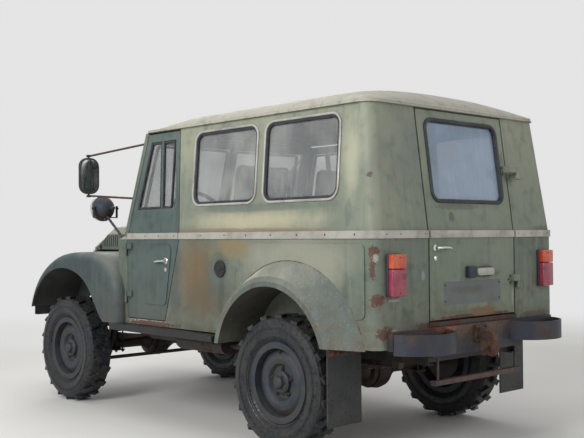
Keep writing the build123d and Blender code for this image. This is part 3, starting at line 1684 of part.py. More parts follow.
# Tow hook: plate on the beam, shank and closed eye
plate_back_x = beam_x - seat_gap - 10.0
with BuildPart() as tow_hook:
    with BuildSketch(Plane.YZ.offset(beam_x - seat_gap)):
        with Locations((0.0, hook_plate_z)):
            RectangleRounded(110.0, 96.0, 10.0)
    extrude(amount=-10.0)
    with BuildSketch(Plane.XZ.offset(-hook_width / 2)):
        with BuildLine():
            Polyline(
                (plate_back_x + 1.0, hook_plate_z + 34.0),
                (plate_back_x + 1.0, hook_plate_z - 30.0),
                (hook_x + hook_outer - 2.0, hook_z + 4.0),
                (hook_x - hook_outer + 2.0, hook_z + 4.0),
                (hook_x - 34.0, hook_z + 54.0),
                (hook_x - 8.0, hook_z + 92.0),
                close=True,
            )
        make_face()
        with Locations((hook_x, hook_z)):
            Circle(hook_outer)
    extrude(amount=hook_width)
    with BuildSketch(Plane.XZ.offset(-hook_width)):
        with Locations((hook_x, hook_z)):
            Circle(hook_inner)
    extrude(amount=2 * hook_width, mode=Mode.SUBTRACT)
tow_hook.part.label = "tow_hook"
export_step(tow_hook.part, "parts/tow_hook.step")

# Tail lamps on the rear panels
with BuildPart() as tail_lamps:
    with BuildSketch(Plane.YZ.offset(body_rear_x - seat_gap)):
        with Locations((lamp_y, (lamp_low + lamp_high) / 2)):
            RectangleRounded(lamp_width, lamp_high - lamp_low, 10.0)
    extrude(amount=-lamp_depth)
    mirror(about=Plane.XZ)
tail_lamps.part.label = "tail_lamps"
export_step(tail_lamps.part, "parts/tail_lamps.step")

# Mud flaps behind the rear wheels
with BuildPart() as mud_flaps:
    with BuildSketch(Plane.YZ.offset(flap_x)):
        with Locations(((flap_inner_y + flare_y) / 2, (flap_low + flap_high) / 2)):
            Rectangle(flare_y - flap_inner_y, flap_high - flap_low)
    extrude(amount=-flap_thickness)
    mirror(about=Plane.XZ)
mud_flaps.part.label = "mud_flaps"
export_step(mud_flaps.part, "parts/mud_flaps.step")

# Seats: two front seats and a bench over each rear wheelhouse
with BuildPart() as seats:
    with BuildSketch(Plane.XZ.offset(-(seat_y + seat_width / 2))):
        with BuildLine():
            Polyline(
                (seat_x - seat_depth / 2, cushion_low),
                (seat_x + seat_depth / 2, cushion_low + 20.0),
                (seat_x + seat_depth / 2, cushion_low + cushion_thickness + 20.0),
                (seat_x - seat_depth / 2 + back_thickness - 12.0, cushion_low + cushion_thickness),
                (
                    seat_x - seat_depth / 2 - 70.0 + back_thickness,
                    cushion_low + back_height,
                ),
                (seat_x - seat_depth / 2 - 90.0, cushion_low + back_height),
                close=True,
            )
        make_face()
    extrude(amount=seat_width)
    with BuildSketch(Plane.XY.offset(tub_bottom + floor_thickness + seat_gap)):
        with Locations((seat_x, seat_y)):
            Rectangle(seat_depth - 60.0, seat_width - 70.0)
    extrude(amount=cushion_low - tub_bottom - floor_thickness + 5.0)
    with BuildSketch(Plane.XY.offset(arch_z + arch_radius + seat_gap)):
        with Locations(((bench_front_x + bench_rear_x) / 2, (bench_inner_y + bench_outer_y) / 2)):
            RectangleRounded(bench_front_x - bench_rear_x, bench_outer_y - bench_inner_y, 20.0)
    extrude(amount=bench_thickness)
    mirror(about=Plane.XZ)
seats.part.label = "seats"
export_step(seats.part, "parts/seats.step")

# Steering column and wheel, in front of the left seat
with BuildPart() as steering_column:
    with BuildSketch(column_plane):
        Circle(column_radius)
    extrude(amount=-column_length)
steering_column.part.label = "steering_column"
export_step(steering_column.part, "parts/steering_column.step")
steer_plane = Plane(origin=steer_centre, x_dir=(0, 1, 0), z_dir=axis_dir)
with BuildPart() as steering_wheel:
    with Locations(steer_plane):
        Torus(steering_wheel_radius, steering_rim_radius)
    with BuildSketch(steer_plane.offset(-10.0)):
        Circle(34.0)
    extrude(amount=24.0)
    with BuildSketch(steer_plane.offset(seat_gap - column_drop)):
        Circle(column_radius - 3.0)
    extrude(amount=column_drop)
    with BuildSketch(steer_plane.offset(-5.0)):
        with Locations((0.0, 0.0)):
            Rectangle(2 * steering_wheel_radius - 6.0, 16.0)
        with Locations((0.0, -steering_wheel_radius / 2)):
            Rectangle(16.0, steering_wheel_radius - 4.0)
    extrude(amount=10.0)
steering_wheel.part.label = "steering_wheel"
export_step(steering_wheel.part, "parts/steering_wheel.step")

# Mirrors: plates on two stays at each windscreen post
mirror_x = 745.0
mirror_y = body_half_width + 148.0
mirror_z = 1598.0
mirror_half_width = 74.0
mirror_half_height = 122.0
stay_radius = 7.0


def stay(start, finish, radius):
    """Straight round stay from start to finish."""
    run = Vector(*finish) - Vector(*start)
    with BuildPart() as rod:
        with BuildSketch(Plane(origin=start, z_dir=run)):
            Circle(radius)
        extrude(amount=run.length)
    return rod.part


def screen_point(y, z, out):
    """Point on the windscreen frame's front face at y and z, moved out along its normal."""
    share = (z - screen_foot_z) / (roof_seam_z - screen_foot_z)
    face_x = screen_foot_x + share * (screen_head_x - screen_foot_x)
    normal = screen_plane.z_dir
    return (face_x + out * normal.X, y, z + out * normal.Z)


upper_stay_foot = screen_point(roof_half_width - 17.0, 1800.0, 5.0)
lower_stay_foot = screen_point(body_half_width - 43.0, 1440.0, 5.0)
upper_stay = stay(upper_stay_foot, (mirror_x, mirror_y, mirror_z + mirror_half_height + 12.0), stay_radius)
lower_stay = stay(lower_stay_foot, (mirror_x, mirror_y, mirror_z - mirror_half_height - 12.0), stay_radius)
mirror_post = stay(
    (mirror_x, mirror_y, mirror_z - mirror_half_height - 18.0),
    (mirror_x, mirror_y, mirror_z + mirror_half_height + 18.0),
    stay_radius,
)
with BuildPart() as mirrors:
    with BuildSketch(Plane.YZ.offset(mirror_x - 12.0)):
        with Locations((mirror_y, mirror_z)):
            RectangleRounded(2 * mirror_half_width, 2 * mirror_half_height, 60.0)
    extrude(amount=16.0)
    add(upper_stay)
    add(lower_stay)
    add(mirror_post)
    mirror(about=Plane.XZ)
mirrors.part.label = "mirrors"
export_step(mirrors.part, "parts/mirrors.step")

# Search lamp on its bracket at the left of the cowl
search_x = 915.0
search_y = body_half_width - 85.0
search_z = 1387.0
search_radius = 88.0
search_stalk = stay(
    (cowl_front_x + 6.0, search_y, 1122.0), (search_x, search_y, search_z - 40.0), 9.0
)
with BuildPart() as search_lamp:
    with BuildSketch(Plane.XY.offset(search_z)):
        with BuildLine():
            ThreePointArc(
                (search_x - 60.0, search_y),
                (search_x - 20.0, search_y + 0.72 * search_radius),
                (search_x + 35.0, search_y + search_radius),
            )
            Polyline(
                (search_x + 35.0, search_y + search_radius),
                (search_x + 50.0, search_y + search_radius),
                (search_x + 50.0, search_y),
                (search_x - 60.0, search_y),
            )
        make_face()
    revolve(axis=Axis((search_x, search_y, search_z), (1, 0, 0)))
    add(search_stalk)
search_lamp.part.label = "search_lamp"
export_step(search_lamp.part, "parts/search_lamp.step")
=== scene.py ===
"""Old army four-wheel-drive car with a steel hardtop: finishes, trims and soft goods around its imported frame.

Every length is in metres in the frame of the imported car: x forward, y to the left, z up from the ground.
"""

import json
import logging
import math
from dataclasses import dataclass
from enum import Enum
from functools import partial
from typing import Callable, Sequence, Union

import bmesh
import bpy
from mathutils import Matrix, Vector
from mathutils.bvhtree import BVHTree

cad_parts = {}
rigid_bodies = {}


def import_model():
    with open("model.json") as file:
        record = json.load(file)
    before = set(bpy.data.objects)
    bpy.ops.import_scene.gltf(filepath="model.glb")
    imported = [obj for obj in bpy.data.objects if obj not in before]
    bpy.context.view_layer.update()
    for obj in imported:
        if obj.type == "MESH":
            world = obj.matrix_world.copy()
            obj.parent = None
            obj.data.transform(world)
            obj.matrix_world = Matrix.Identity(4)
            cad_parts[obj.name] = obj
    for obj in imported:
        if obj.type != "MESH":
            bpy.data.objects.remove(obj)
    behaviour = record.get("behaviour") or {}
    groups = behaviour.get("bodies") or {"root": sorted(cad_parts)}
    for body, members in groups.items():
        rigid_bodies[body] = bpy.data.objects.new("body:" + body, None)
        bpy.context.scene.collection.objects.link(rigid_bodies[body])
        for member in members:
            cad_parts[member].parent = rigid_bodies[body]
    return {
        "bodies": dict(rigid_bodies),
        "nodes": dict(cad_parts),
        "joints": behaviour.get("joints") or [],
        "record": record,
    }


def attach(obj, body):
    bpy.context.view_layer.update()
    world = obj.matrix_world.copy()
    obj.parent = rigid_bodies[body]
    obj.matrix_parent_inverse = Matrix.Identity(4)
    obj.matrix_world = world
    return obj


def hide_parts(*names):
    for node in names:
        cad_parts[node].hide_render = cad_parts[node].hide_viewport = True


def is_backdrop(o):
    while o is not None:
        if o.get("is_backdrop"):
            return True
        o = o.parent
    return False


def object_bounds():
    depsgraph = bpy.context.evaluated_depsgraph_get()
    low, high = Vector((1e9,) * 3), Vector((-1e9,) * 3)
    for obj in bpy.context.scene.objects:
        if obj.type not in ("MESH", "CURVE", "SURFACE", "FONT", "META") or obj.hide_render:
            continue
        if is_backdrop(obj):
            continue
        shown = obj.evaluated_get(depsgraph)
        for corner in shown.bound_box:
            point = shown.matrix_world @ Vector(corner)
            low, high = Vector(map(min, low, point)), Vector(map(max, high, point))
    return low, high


LOG = logging.getLogger("army_car")
BODY = "car_body"

RUST = "4f3226"
PRIMER = "7a5c40"
PALE = "9d9c90"
DARK_RUST = "2e211c"
DEEP_RUST = "3a241b"
BRIGHT_RUST = "8a5a3a"
ROAD_DUST = "5b5142"
ROAD_DIRT = ("3b342b", "2c2a27")
NOISE_ROUGHNESS = 0.58
EDGE_SPAN = (0.995, 0.86)

MERGE_REACH = 0.00002
CORNER_STEPS = 7
CREASE_DOT = 0.7
SMOOTH_ANGLE = 35.0

HALF_WIDTH = 0.8
SIDE_LEAN = 0.055
REAR_X = -1.727
REAR_LEAN = 0.093
REAR_FACE = -1.7273
BELT_Z = 1.168
UPPER_HEIGHT = 0.697
PANE_Z = 1.5
HUB_Z = 0.375
AXLES = {"front": 1.32, "rear": -0.98}

AHEAD = Vector((1.0, 0.0, 0.0))
BACKWARD = Vector((-1.0, 0.0, 0.0))
LEFTWARD = Vector((0.0, 1.0, 0.0))
UPWARD = Vector((0.0, 0.0, 1.0))
DOWNWARD = Vector((0.0, 0.0, -1.0))
SCREEN_FOOT = Vector((0.540, 0.0, 1.190))
SCREEN_HEAD = Vector((0.356, 0.0, 1.865))
SCREEN_NORMAL = Vector((0.675, 0.0, 0.184)).normalized()

Triple = tuple[float, float, float]
Box = tuple[float, float, float, float]
Profile = Sequence[tuple[float, float]]
Colour = tuple[float, float, float, float]
Value = Union[float, bpy.types.NodeSocket]
Ink = Union[Colour, bpy.types.NodeSocket]


class Side(Enum):
    """The two sides of the car, with the sign of their y."""

    LEFT = 1
    RIGHT = -1

    @property
    def label(self) -> str:
        """Name of the side as nodes and bodies have it."""
        return self.name.lower()

    @property
    def door(self) -> str:
        """Name of the body of the side's door."""
        return f"{self.label}_door"

    @property
    def out(self) -> Vector:
        """Direction straight out of the side."""
        return Vector((0.0, self.value, 0.0))

    def at(self, x: float, y: float, z: float) -> Vector:
        """Point on the side, from a y that is measured outward."""
        return Vector((x, self.value * y, z))

    def span(self, inner: float, outer: float) -> tuple[float, float]:
        """Lowest and highest y between two distances from the middle of the car."""
        low, high = sorted((self.value * inner, self.value * outer))
        return low, high


def tone(code: str) -> Colour:
    """Linear colour of a hexadecimal screen colour.

    Args:
        code: six hexadecimal digits, red first.

    Returns:
        The linear red, green and blue with an alpha of 1.
    """
    parts = [int(code[i : i + 2], 16) / 255 for i in (0, 2, 4)]
    red, green, blue = (p / 12.92 if p <= 0.04045 else ((p + 0.055) / 1.055) ** 2.4 for p in parts)
    return (red, green, blue, 1.0)


def side_wall(z: float) -> float:
    """Outer y of the left wall at a height: upright below the belt, leaning in above it."""
    return HALF_WIDTH - SIDE_LEAN * max(z - BELT_Z, 0.0) / UPPER_HEIGHT


def rear_wall(z: float) -> float:
    """Outer x of the rear wall at a height: upright below the belt, leaning forward above it."""
    return REAR_X + REAR_LEAN * max(z - BELT_Z, 0.0) / UPPER_HEIGHT


class Graph:
    """Node graph of one finish, with short calls for the nodes that the finishes share."""

    def __init__(self, name: str) -> None:
        """Starts an empty graph with one shader.

        Args:
            name: name of the material.
        """
        self.material = bpy.data.materials.new(name)
        self.material.use_nodes = True
        self.tree = self.material.node_tree
        self.tree.nodes.clear()
        self.output = self.node("ShaderNodeOutputMaterial")
        self.shader = self.node("ShaderNodeBsdfPrincipled")
        self.join(self.shader.outputs["BSDF"], self.output.inputs["Surface"])
        self.place = self.node("ShaderNodeTexCoord").outputs["Object"]
        self.normal = self.node("ShaderNodeNewGeometry").outputs["Normal"]
        self._axes: dict[str, bpy.types.NodeSocket] = {}

    def node(self, kind: str, **settings: object) -> bpy.types.Node:
        """Adds a node and gives it its settings."""
        made = self.tree.nodes.new(kind)
        for key, value in settings.items():
            setattr(made, key, value)
        return made

    def join(self, source: Union[Value, Ink], socket: bpy.types.NodeSocket) -> None:
        """Links a socket to another, or writes a number or colour on it."""
        if isinstance(source, bpy.types.NodeSocket):
            self.tree.links.new(source, socket)
        else:
            socket.default_value = source

    def axis(self, letter: str) -> bpy.types.NodeSocket:
        """One coordinate of the point, X, Y or Z."""
        if not self._axes:
            split = self.node("ShaderNodeSeparateXYZ")
            self.join(self.place, split.inputs[0])
            self._axes = {key: split.outputs[key] for key in "XYZ"}
        return self._axes[letter]

    def upward(self) -> bpy.types.NodeSocket:
        """How far the surface faces up, from -1 to 1."""
        split = self.node("ShaderNodeSeparateXYZ")
        self.join(self.normal, split.inputs[0])
        return split.outputs["Z"]

    def maths(self, operation: str, first: Value, second: Value = 0.0) -> bpy.types.NodeSocket:
        """Result of one arithmetic node."""
        made = self.node("ShaderNodeMath", operation=operation)
        self.join(first, made.inputs[0])
        self.join(second, made.inputs[1])
        return made.outputs[0]

    def window(self, value: Value, low: float, high: float, top: float = 1.0) -> bpy.types.NodeSocket:
        """Soft step from 0 at low to top at high.

        Args:
            value: number to test.
            low: value at which the step starts; it may be above high.
            high: value at which the step is full.
            top: the full step.

        Returns:
            The step as a socket.
        """
        made = self.node("ShaderNodeMapRange", interpolation_type="SMOOTHSTEP", clamp=True)
        if low <= high:
            marks = (low, high, 0.0, top)
        else:
            marks = (high, low, top, 0.0)
        self.join(value, made.inputs["Value"])
        for key, mark in zip(("From Min", "From Max", "To Min", "To Max"), marks):
            made.inputs[key].default_value = mark
        return made.outputs["Result"]

    def noise(
        self, scale: float, detail: float = 3.0, stretch: Triple = (1.0, 1.0, 1.0), warp: float = 0.0
    ) -> bpy.types.NodeSocket:
        """Noise from about 0.25 to 0.75 over the piece.

        Args:
            scale: cells in a metre.
            detail: layers of finer noise.
            stretch: factors on each axis; a small one draws the pattern out along it.
            warp: how much the pattern is bent.

        Returns:
            The noise as a socket.
        """
        turn = self.node("ShaderNodeMapping")
        self.join(self.place, turn.inputs["Vector"])
        turn.inputs["Scale"].default_value = stretch
        made = self.node("ShaderNodeTexNoise")
        self.join(turn.outputs["Vector"], made.inputs["Vector"])
        made.inputs["Scale"].default_value = scale
        made.inputs["Detail"].default_value = detail
        made.inputs["Roughness"].default_value = NOISE_ROUGHNESS
        made.inputs["Distortion"].default_value = warp
        return made.outputs["Fac"]

    def cells(self, scale: float) -> bpy.types.NodeSocket:
        """Distance to the nearest of many scattered points."""
        made = self.node("ShaderNodeTexVoronoi")
        self.join(self.place, made.inputs["Vector"])
        made.inputs["Scale"].default_value = scale
        return made.outputs["Distance"]

    def mix(self, share: Value, first: Ink, second: Ink) -> bpy.types.NodeSocket:
        """Colour between two, at a share of the second."""
        made = self.node("ShaderNodeMix", data_type="RGBA")
        self.join(share, made.inputs[0])
        self.join(first, made.inputs[6])
        self.join(second, made.inputs[7])
        return made.outputs[2]

    def edges(self, radius: float) -> bpy.types.NodeSocket:
        """Mask of the sharp edges within a radius, from 0 to 1."""
        round_normal = self.node("ShaderNodeBevel", samples=4)
        round_normal.inputs["Radius"].default_value = radius
        dot = self.node("ShaderNodeVectorMath", operation="DOT_PRODUCT")
        self.join(round_normal.outputs[0], dot.inputs[0])
        self.join(self.normal, dot.inputs[1])
        return self.window(dot.outputs["Value"], *EDGE_SPAN)

    def spot(self, patch: "Patch") -> bpy.types.NodeSocket:
        """Mask of a patch, full in its middle and torn at its edge."""
        away = self.node("ShaderNodeVectorMath", operation="SUBTRACT")
        self.join(self.place, away.inputs[0])
        away.inputs[1].default_value = patch.centre
        scaled = self.node("ShaderNodeVectorMath", operation="DIVIDE")
        self.join(away.outputs[0], scaled.inputs[0])
        scaled.inputs[1].default_value = patch.reach
        if patch.boxed:
            flat = self.node("ShaderNodeVectorMath", operation="ABSOLUTE")
            self.join(scaled.outputs[0], flat.inputs[0])
            split = self.node("ShaderNodeSeparateXYZ")
            self.join(flat.outputs[0], split.inputs[0])
            far = self.maths("MAXIMUM", split.outputs[0], split.outputs[1])
            far = self.maths("MAXIMUM", far, split.outputs[2])
        else:
            far = self.node("ShaderNodeVectorMath", operation="LENGTH")
            self.join(scaled.outputs[0], far.inputs[0])
            far = far.outputs["Value"]
        torn = self.maths("MULTIPLY", self.noise(patch.grain, 5.0), patch.ragged)
        near = self.maths("SUBTRACT", torn, self.maths("SUBTRACT", far, 1.0 - 0.5 * patch.ragged))
        return self.window(near, 0.0, patch.soft, patch.strength)

    def relief(self, height: Value, depth: float, strength: float = 1.0) -> None:
        """Adds a bump of a height map to the shader's normal.

        Args:
            height: map from 0 to 1.
            depth: height of the full map in metres.
            strength: share of the bump that shows.
        """
        made = self.node("ShaderNodeBump")
        made.inputs["Strength"].default_value = strength
        made.inputs["Distance"].default_value = depth
        self.join(height, made.inputs["Height"])
        socket = self.shader.inputs["Normal"]
        if socket.is_linked:
            self.join(socket.links[0].from_socket, made.inputs["Normal"])
        self.join(made.outputs["Normal"], socket)

    def surface(self, colour: Ink, roughness: Value, metallic: Value = 0.0) -> None:
        """Writes the shader's colour, roughness and metal share."""
        self.join(colour, self.shader.inputs["Base Color"])
        self.join(roughness, self.shader.inputs["Roughness"])
        self.join(metallic, self.shader.inputs["Metallic"])


@dataclass(frozen=True)
class Patch:
    """A place on a finish with its own colour: rust, a stain, bleached paint, painted sunlight or painted shade.

    The centre and the half sizes in reach are in metres; ragged is how much noise tears the edge, grain the
    cells of that noise in a metre, and soft the width of the edge as a share of the reach.
    """

    colour: str
    centre: Triple
    reach: Triple
    strength: float = 1.0
    ragged: float = 0.9
    grain: float = 14.0
    soft: float = 0.35
    boxed: bool = False


@dataclass(frozen=True)
class WornPaint:
    """Army paint that has bleached, streaked, chipped and gathered dust; its upper part is lighter, partly with
    painted sunlight.
    """

    name: str
    base: str
    bleached: str
    shaded: str
    dust: str = "a2987f"
    dust_share: float = 0.7
    rust: str = "5f3524"
    chips: float = 0.5
    edge: float = 0.6
    grime: float = 0.6
    roughness: float = 0.6
    under: float = 0.8
    bleach_span: tuple[float, float] = (1.1, 1.9)
    patches: tuple[Patch, ...] = ()

    def material(self) -> bpy.types.Material:
        """Builds the paint's material."""
        g = Graph(self.name)
        broad = g.noise(1.7, 4.0, warp=0.4)
        mottle = g.noise(13.0, 6.0)
        fine = g.noise(90.0, 4.0)
        runs = g.noise(5.0, 5.0, stretch=(6.0, 6.0, 0.35))
        # Lighter towards the top of the span: partly sun-faded paint and partly painted sunlight on the upper walls.
        high = g.window(g.axis("Z"), self.bleach_span[0], self.bleach_span[1], 0.6)
        bleach_and_painted_sun = g.maths("ADD", high, g.window(broad, 0.35, 0.68, 0.5))
        colour = g.mix(bleach_and_painted_sun, tone(self.base), tone(self.bleached))
        colour = g.mix(g.window(mottle, 0.5, 0.78, 0.55), colour, tone(self.shaded))
        colour = g.mix(g.window(runs, 0.54, 0.74, 0.4), colour, tone(self.bleached))
        colour = g.mix(g.window(runs, 0.44, 0.3, 0.4), colour, tone(self.shaded))
        low = g.maths("MULTIPLY", g.window(g.axis("Z"), 1.0, 0.62), g.window(mottle, 0.36, 0.62, self.grime))
        colour = g.mix(low, colour, tone(ROAD_DUST))
        sprayed = g.mix(g.window(mottle, 0.35, 0.65), *(tone(code) for code in ROAD_DIRT))
        colour = g.mix(g.window(g.upward(), -0.1, -0.55, self.under), colour, sprayed)
        # Dust on upward faces; the fender's pale dust colour is partly painted sunlight on the flare tops.
        settled = g.maths("MULTIPLY", g.window(g.upward(), 0.25, 0.95), g.window(broad, 0.2, 0.62, self.dust_share))
        colour = g.mix(settled, colour, tone(self.dust))
        colour = g.mix(g.window(fine, 0.55, 0.8, 0.22), colour, tone(self.dust))
        rusty = g.mix(g.window(g.noise(48.0, 5.0), 0.4, 0.62), tone(self.rust), tone(DARK_RUST))
        rim = g.maths("MULTIPLY", g.edges(0.007), g.window(g.noise(26.0, 5.0), 0.5, 0.62, self.edge))
        chip = g.maths("MULTIPLY", g.window(g.noise(34.0, 6.0), 0.66, 0.71), g.window(broad, 0.42, 0.6, self.chips))
        bare = g.maths("MAXIMUM", rim, chip)
        colour = g.mix(bare, colour, rusty)
        for patch in self.patches:
            mask = g.spot(patch)
            shade = g.mix(g.window(mottle, 0.4, 0.66, 0.5), tone(patch.colour), rusty)
            colour = g.mix(mask, colour, shade if patch.colour == RUST else tone(patch.colour))
        rough = g.window(mottle, 0.2, 0.8, 0.22)
        rough = g.maths("ADD", rough, self.roughness - 0.08)
        rough = g.maths("ADD", rough, g.maths("MULTIPLY", bare, 0.2))
        g.surface(colour, rough)
        g.relief(g.noise(2.6, 2.0), 0.006, 0.5)
        g.relief(mottle, 0.0012, 0.5)
        g.relief(g.maths("SUBTRACT", 1.0, bare), 0.0008, 0.8)
        return g.material


@dataclass(frozen=True)
class RustySteel:
    """Dark painted or bare steel under the car, with rust and road dirt."""

    name: str
    paint: str = "2a2c31"
    rust: str = "61402f"
    dirt: str = "6a6152"
    rust_share: float = 0.6
    dirt_share: float = 0.5
    metal: float = 0.25
    patches: tuple[Patch, ...] = ()

    def material(self) -> bpy.types.Material:
        """Builds the steel's material."""
        g = Graph(self.name)
        broad = g.noise(6.0, 5.0, warp=0.6)
        mottle = g.noise(38.0, 6.0)
        rust = g.mix(g.window(mottle, 0.36, 0.66), tone(self.rust), tone(DEEP_RUST))
        rust = g.mix(g.window(g.noise(120.0, 3.0), 0.55, 0.75, 0.5), rust, tone(BRIGHT_RUST))
        eaten = g.maths("ADD", g.window(broad, 0.42, 0.62, 0.9), g.window(mottle, 0.6, 0.7, 0.5))
        eaten = g.maths("ADD", eaten, g.maths("MULTIPLY", g.edges(0.006), 0.5))
        eaten = g.window(g.maths("MULTIPLY", eaten, self.rust_share), 0.0, 0.8)
        colour = g.mix(eaten, tone(self.paint), rust)
        settled = g.maths("MULTIPLY", g.window(g.upward(), -0.2, 0.9), g.window(broad, 0.3, 0.7, self.dirt_share))
        colour = g.mix(settled, colour, tone(self.dirt))
        colour = g.mix(g.window(mottle, 0.5, 0.75, 0.35 * self.dirt_share), colour, tone(self.dirt))
        for patch in self.patches:
            stain = g.mix(g.window(mottle, 0.4, 0.66, 0.6), tone(patch.colour), tone(self.paint))
            colour = g.mix(g.spot(patch), colour, stain)
        g.surface(colour, g.maths("ADD", g.window(eaten, 0.0, 1.0, 0.35), 0.5), self.metal)
        g.relief(mottle, 0.0012, 0.8)
        g.relief(eaten, 0.0006, 0.7)
        return g.material


@dataclass(frozen=True)
class DryRubber:
    """Old rubber, grey with dust and finely cracked."""

    name: str
    base: str = "26282b"
    dust: str = "6f6a5f"
    dust_share: float = 0.55
    crack: float = 120.0

    def material(self) -> bpy.types.Material:
        """Builds the rubber's material."""
        g = Graph(self.name)
        broad = g.noise(5.0, 5.0, warp=0.5)
        fine = g.noise(60.0, 5.0)
        split = g.cells(self.crack)
        colour = g.mix(g.window(fine, 0.35, 0.7, 0.5), tone(self.base), tone("3c3f44"))
        dusty = g.maths("ADD", g.window(broad, 0.36, 0.68, self.dust_share), g.window(g.upward(), 0.3, 1.0, 0.35))
        colour = g.mix(g.maths("MULTIPLY", dusty, g.window(fine, 0.2, 0.6)), colour, tone(self.dust))
        colour = g.mix(g.window(split, 0.1, 0.0, 0.4), colour, tone("15161a"))
        g.surface(colour, g.window(fine, 0.1, 0.9, 0.92))
        g.shader.inputs["Specular IOR Level"].default_value = 0.3
        g.relief(split, 0.0008, 0.5)
        g.relief(fine, 0.0008, 0.6)
        return g.material


@dataclass(frozen=True)
class DustyGlass:
    """Window glass under a film of dust, in clouds, wiped streaks and specks."""

    name: str
    film: str = "a9aaa5"
    clear: float = 0.3
    dusty: float = 0.62
    gloss: float = 0.12
    tint: str = "868b8c"

    def material(self) -> bpy.types.Material:
        """Builds the glass's material."""
        g = Graph(self.name)
        cloud = g.noise(3.2, 5.0, stretch=(1.0, 1.0, 0.8), warp=0.4)
        specks = g.noise(140.0, 3.0)
        runs = g.noise(9.0, 4.0, stretch=(5.0, 5.0, 0.4))
        film = g.maths("ADD", g.window(cloud, 0.3, 0.7, 0.55), g.window(runs, 0.4, 0.75, 0.14))
        film = g.maths("ADD", film, g.window(specks, 0.6, 0.75, 0.25))
        alpha = g.maths("ADD", g.maths("MULTIPLY", film, self.dusty - self.clear), self.clear)
        colour = g.mix(film, tone(self.tint), tone(self.film))
        g.surface(colour, g.maths("ADD", g.maths("MULTIPLY", film, 0.25), self.gloss))
        g.join(alpha, g.shader.inputs["Alpha"])
        g.shader.inputs["Specular IOR Level"].default_value = 0.8
        g.relief(cloud, 0.0006, 0.2)
        return g.material


@dataclass(frozen=True)
class WornMetal:
    """Bright or plated metal that has dulled, with pits and dirt."""

    name: str
    base: str = "b9b6ae"
    dull: str = "7d786e"
    pits: str = "5a4436"
    metal: float = 0.85
    gloss: float = 0.32
    dirt_share: float = 0.5

    def material(self) -> bpy.types.Material:
        """Builds the metal's material."""
        g = Graph(self.name)
        broad = g.noise(7.0, 5.0, warp=0.4)
        fine = g.noise(110.0, 5.0)
        colour = g.mix(g.window(broad, 0.35, 0.7, self.dirt_share), tone(self.base), tone(self.dull))
        pitted = g.maths("MULTIPLY", g.window(fine, 0.6, 0.7), g.window(broad, 0.4, 0.6, 0.8))
        colour = g.mix(pitted, colour, tone(self.pits))
        g.surface(colour, g.maths("ADD", g.window(broad, 0.3, 0.8, 0.3), self.gloss), self.metal)
        g.relief(g.noise(60.0, 3.0), 0.0005, 0.4)
        g.relief(g.maths("SUBTRACT", 1.0, pitted), 0.0004, 0.6)
        return g.material


@dataclass(frozen=True)
class LampPlastic:
    """Sun-faded coloured lens plastic with fine prisms inside."""

    name: str
    base: str
    faded: str
    grime: str = "3a2c2a"
    rib: float = 190.0

    def material(self) -> bpy.types.Material:
        """Builds the lens plastic's material."""
        g = Graph(self.name)
        broad = g.noise(14.0, 4.0)
        fine = g.noise(90.0, 4.0)
        wave = g.node("ShaderNodeTexWave", wave_type="BANDS", bands_direction="Z")
        g.join(g.place, wave.inputs["Vector"])
        wave.inputs["Scale"].default_value = self.rib / math.tau * 2.0
        colour = g.mix(g.window(broad, 0.35, 0.65, 0.85), tone(self.base), tone(self.faded))
        colour = g.mix(g.window(wave.outputs["Fac"], 0.2, 0.9, 0.22), colour, tone(self.base))
        colour = g.mix(g.window(fine, 0.58, 0.78, 0.4), colour, tone(self.grime))
        g.surface(colour, g.window(broad, 0.0, 1.2, 0.5))
        g.shader.inputs["Coat Weight"].default_value = 0.3
        g.shader.inputs["Coat Roughness"].default_value = 0.25
        g.shader.inputs["Subsurface Weight"].default_value = 0.15
        g.shader.inputs["Subsurface Radius"].default_value = (0.01, 0.004, 0.003)
        g.relief(wave.outputs["Fac"], 0.0006, 0.4)
        return g.material


@dataclass(frozen=True)
class FlutedGlass:
    """Pale pressed glass of a front lamp, fluted across."""

    name: str
    base: str = "c9ccc8"
    across: float = 60.0

    def material(self) -> bpy.types.Material:
        """Builds the lamp glass's material."""
        g = Graph(self.name)
        dirt = g.noise(22.0, 5.0)
        wave = g.node("ShaderNodeTexWave", wave_type="BANDS", bands_direction="Y")
        g.join(g.place, wave.inputs["Vector"])
        wave.inputs["Scale"].default_value = self.across / math.tau * 2.0
        colour = g.mix(g.window(wave.outputs["Fac"], 0.1, 0.9, 0.5), tone(self.base), tone("8d9496"))
        colour = g.mix(g.window(dirt, 0.5, 0.72, 0.55), colour, tone("81796a"))
        g.surface(colour, g.window(dirt, 0.1, 0.9, 0.4), 0.35)
        g.shader.inputs["Coat Weight"].default_value = 0.6
        g.relief(wave.outputs["Fac"], 0.0015, 0.6)
        return g.material


@dataclass(frozen=True)
class Leatherette:
    """Worn seat covering with a leather grain, cracked and dusty."""

    name: str
    base: str = "34312d"
    worn: str = "5c564c"

    def material(self) -> bpy.types.Material:
        """Builds the covering's material."""
        g = Graph(self.name)
        broad = g.noise(4.5, 5.0, warp=0.6)
        grain = g.cells(330.0)
        creases = g.noise(32.0, 5.0, warp=1.2)
        colour = g.mix(g.window(broad, 0.38, 0.66, 0.7), tone(self.base), tone(self.worn))
        colour = g.mix(g.window(g.upward(), 0.4, 1.0, 0.35), colour, tone("7a7263"))
        colour = g.mix(g.window(creases, 0.62, 0.7, 0.6), colour, tone("221f1c"))
        g.surface(colour, g.window(broad, 0.0, 1.0, 0.75))
        g.shader.inputs["Sheen Weight"].default_value = 0.08
        g.relief(grain, 0.0005, 0.6)
        g.relief(creases, 0.002, 0.5)
        return g.material


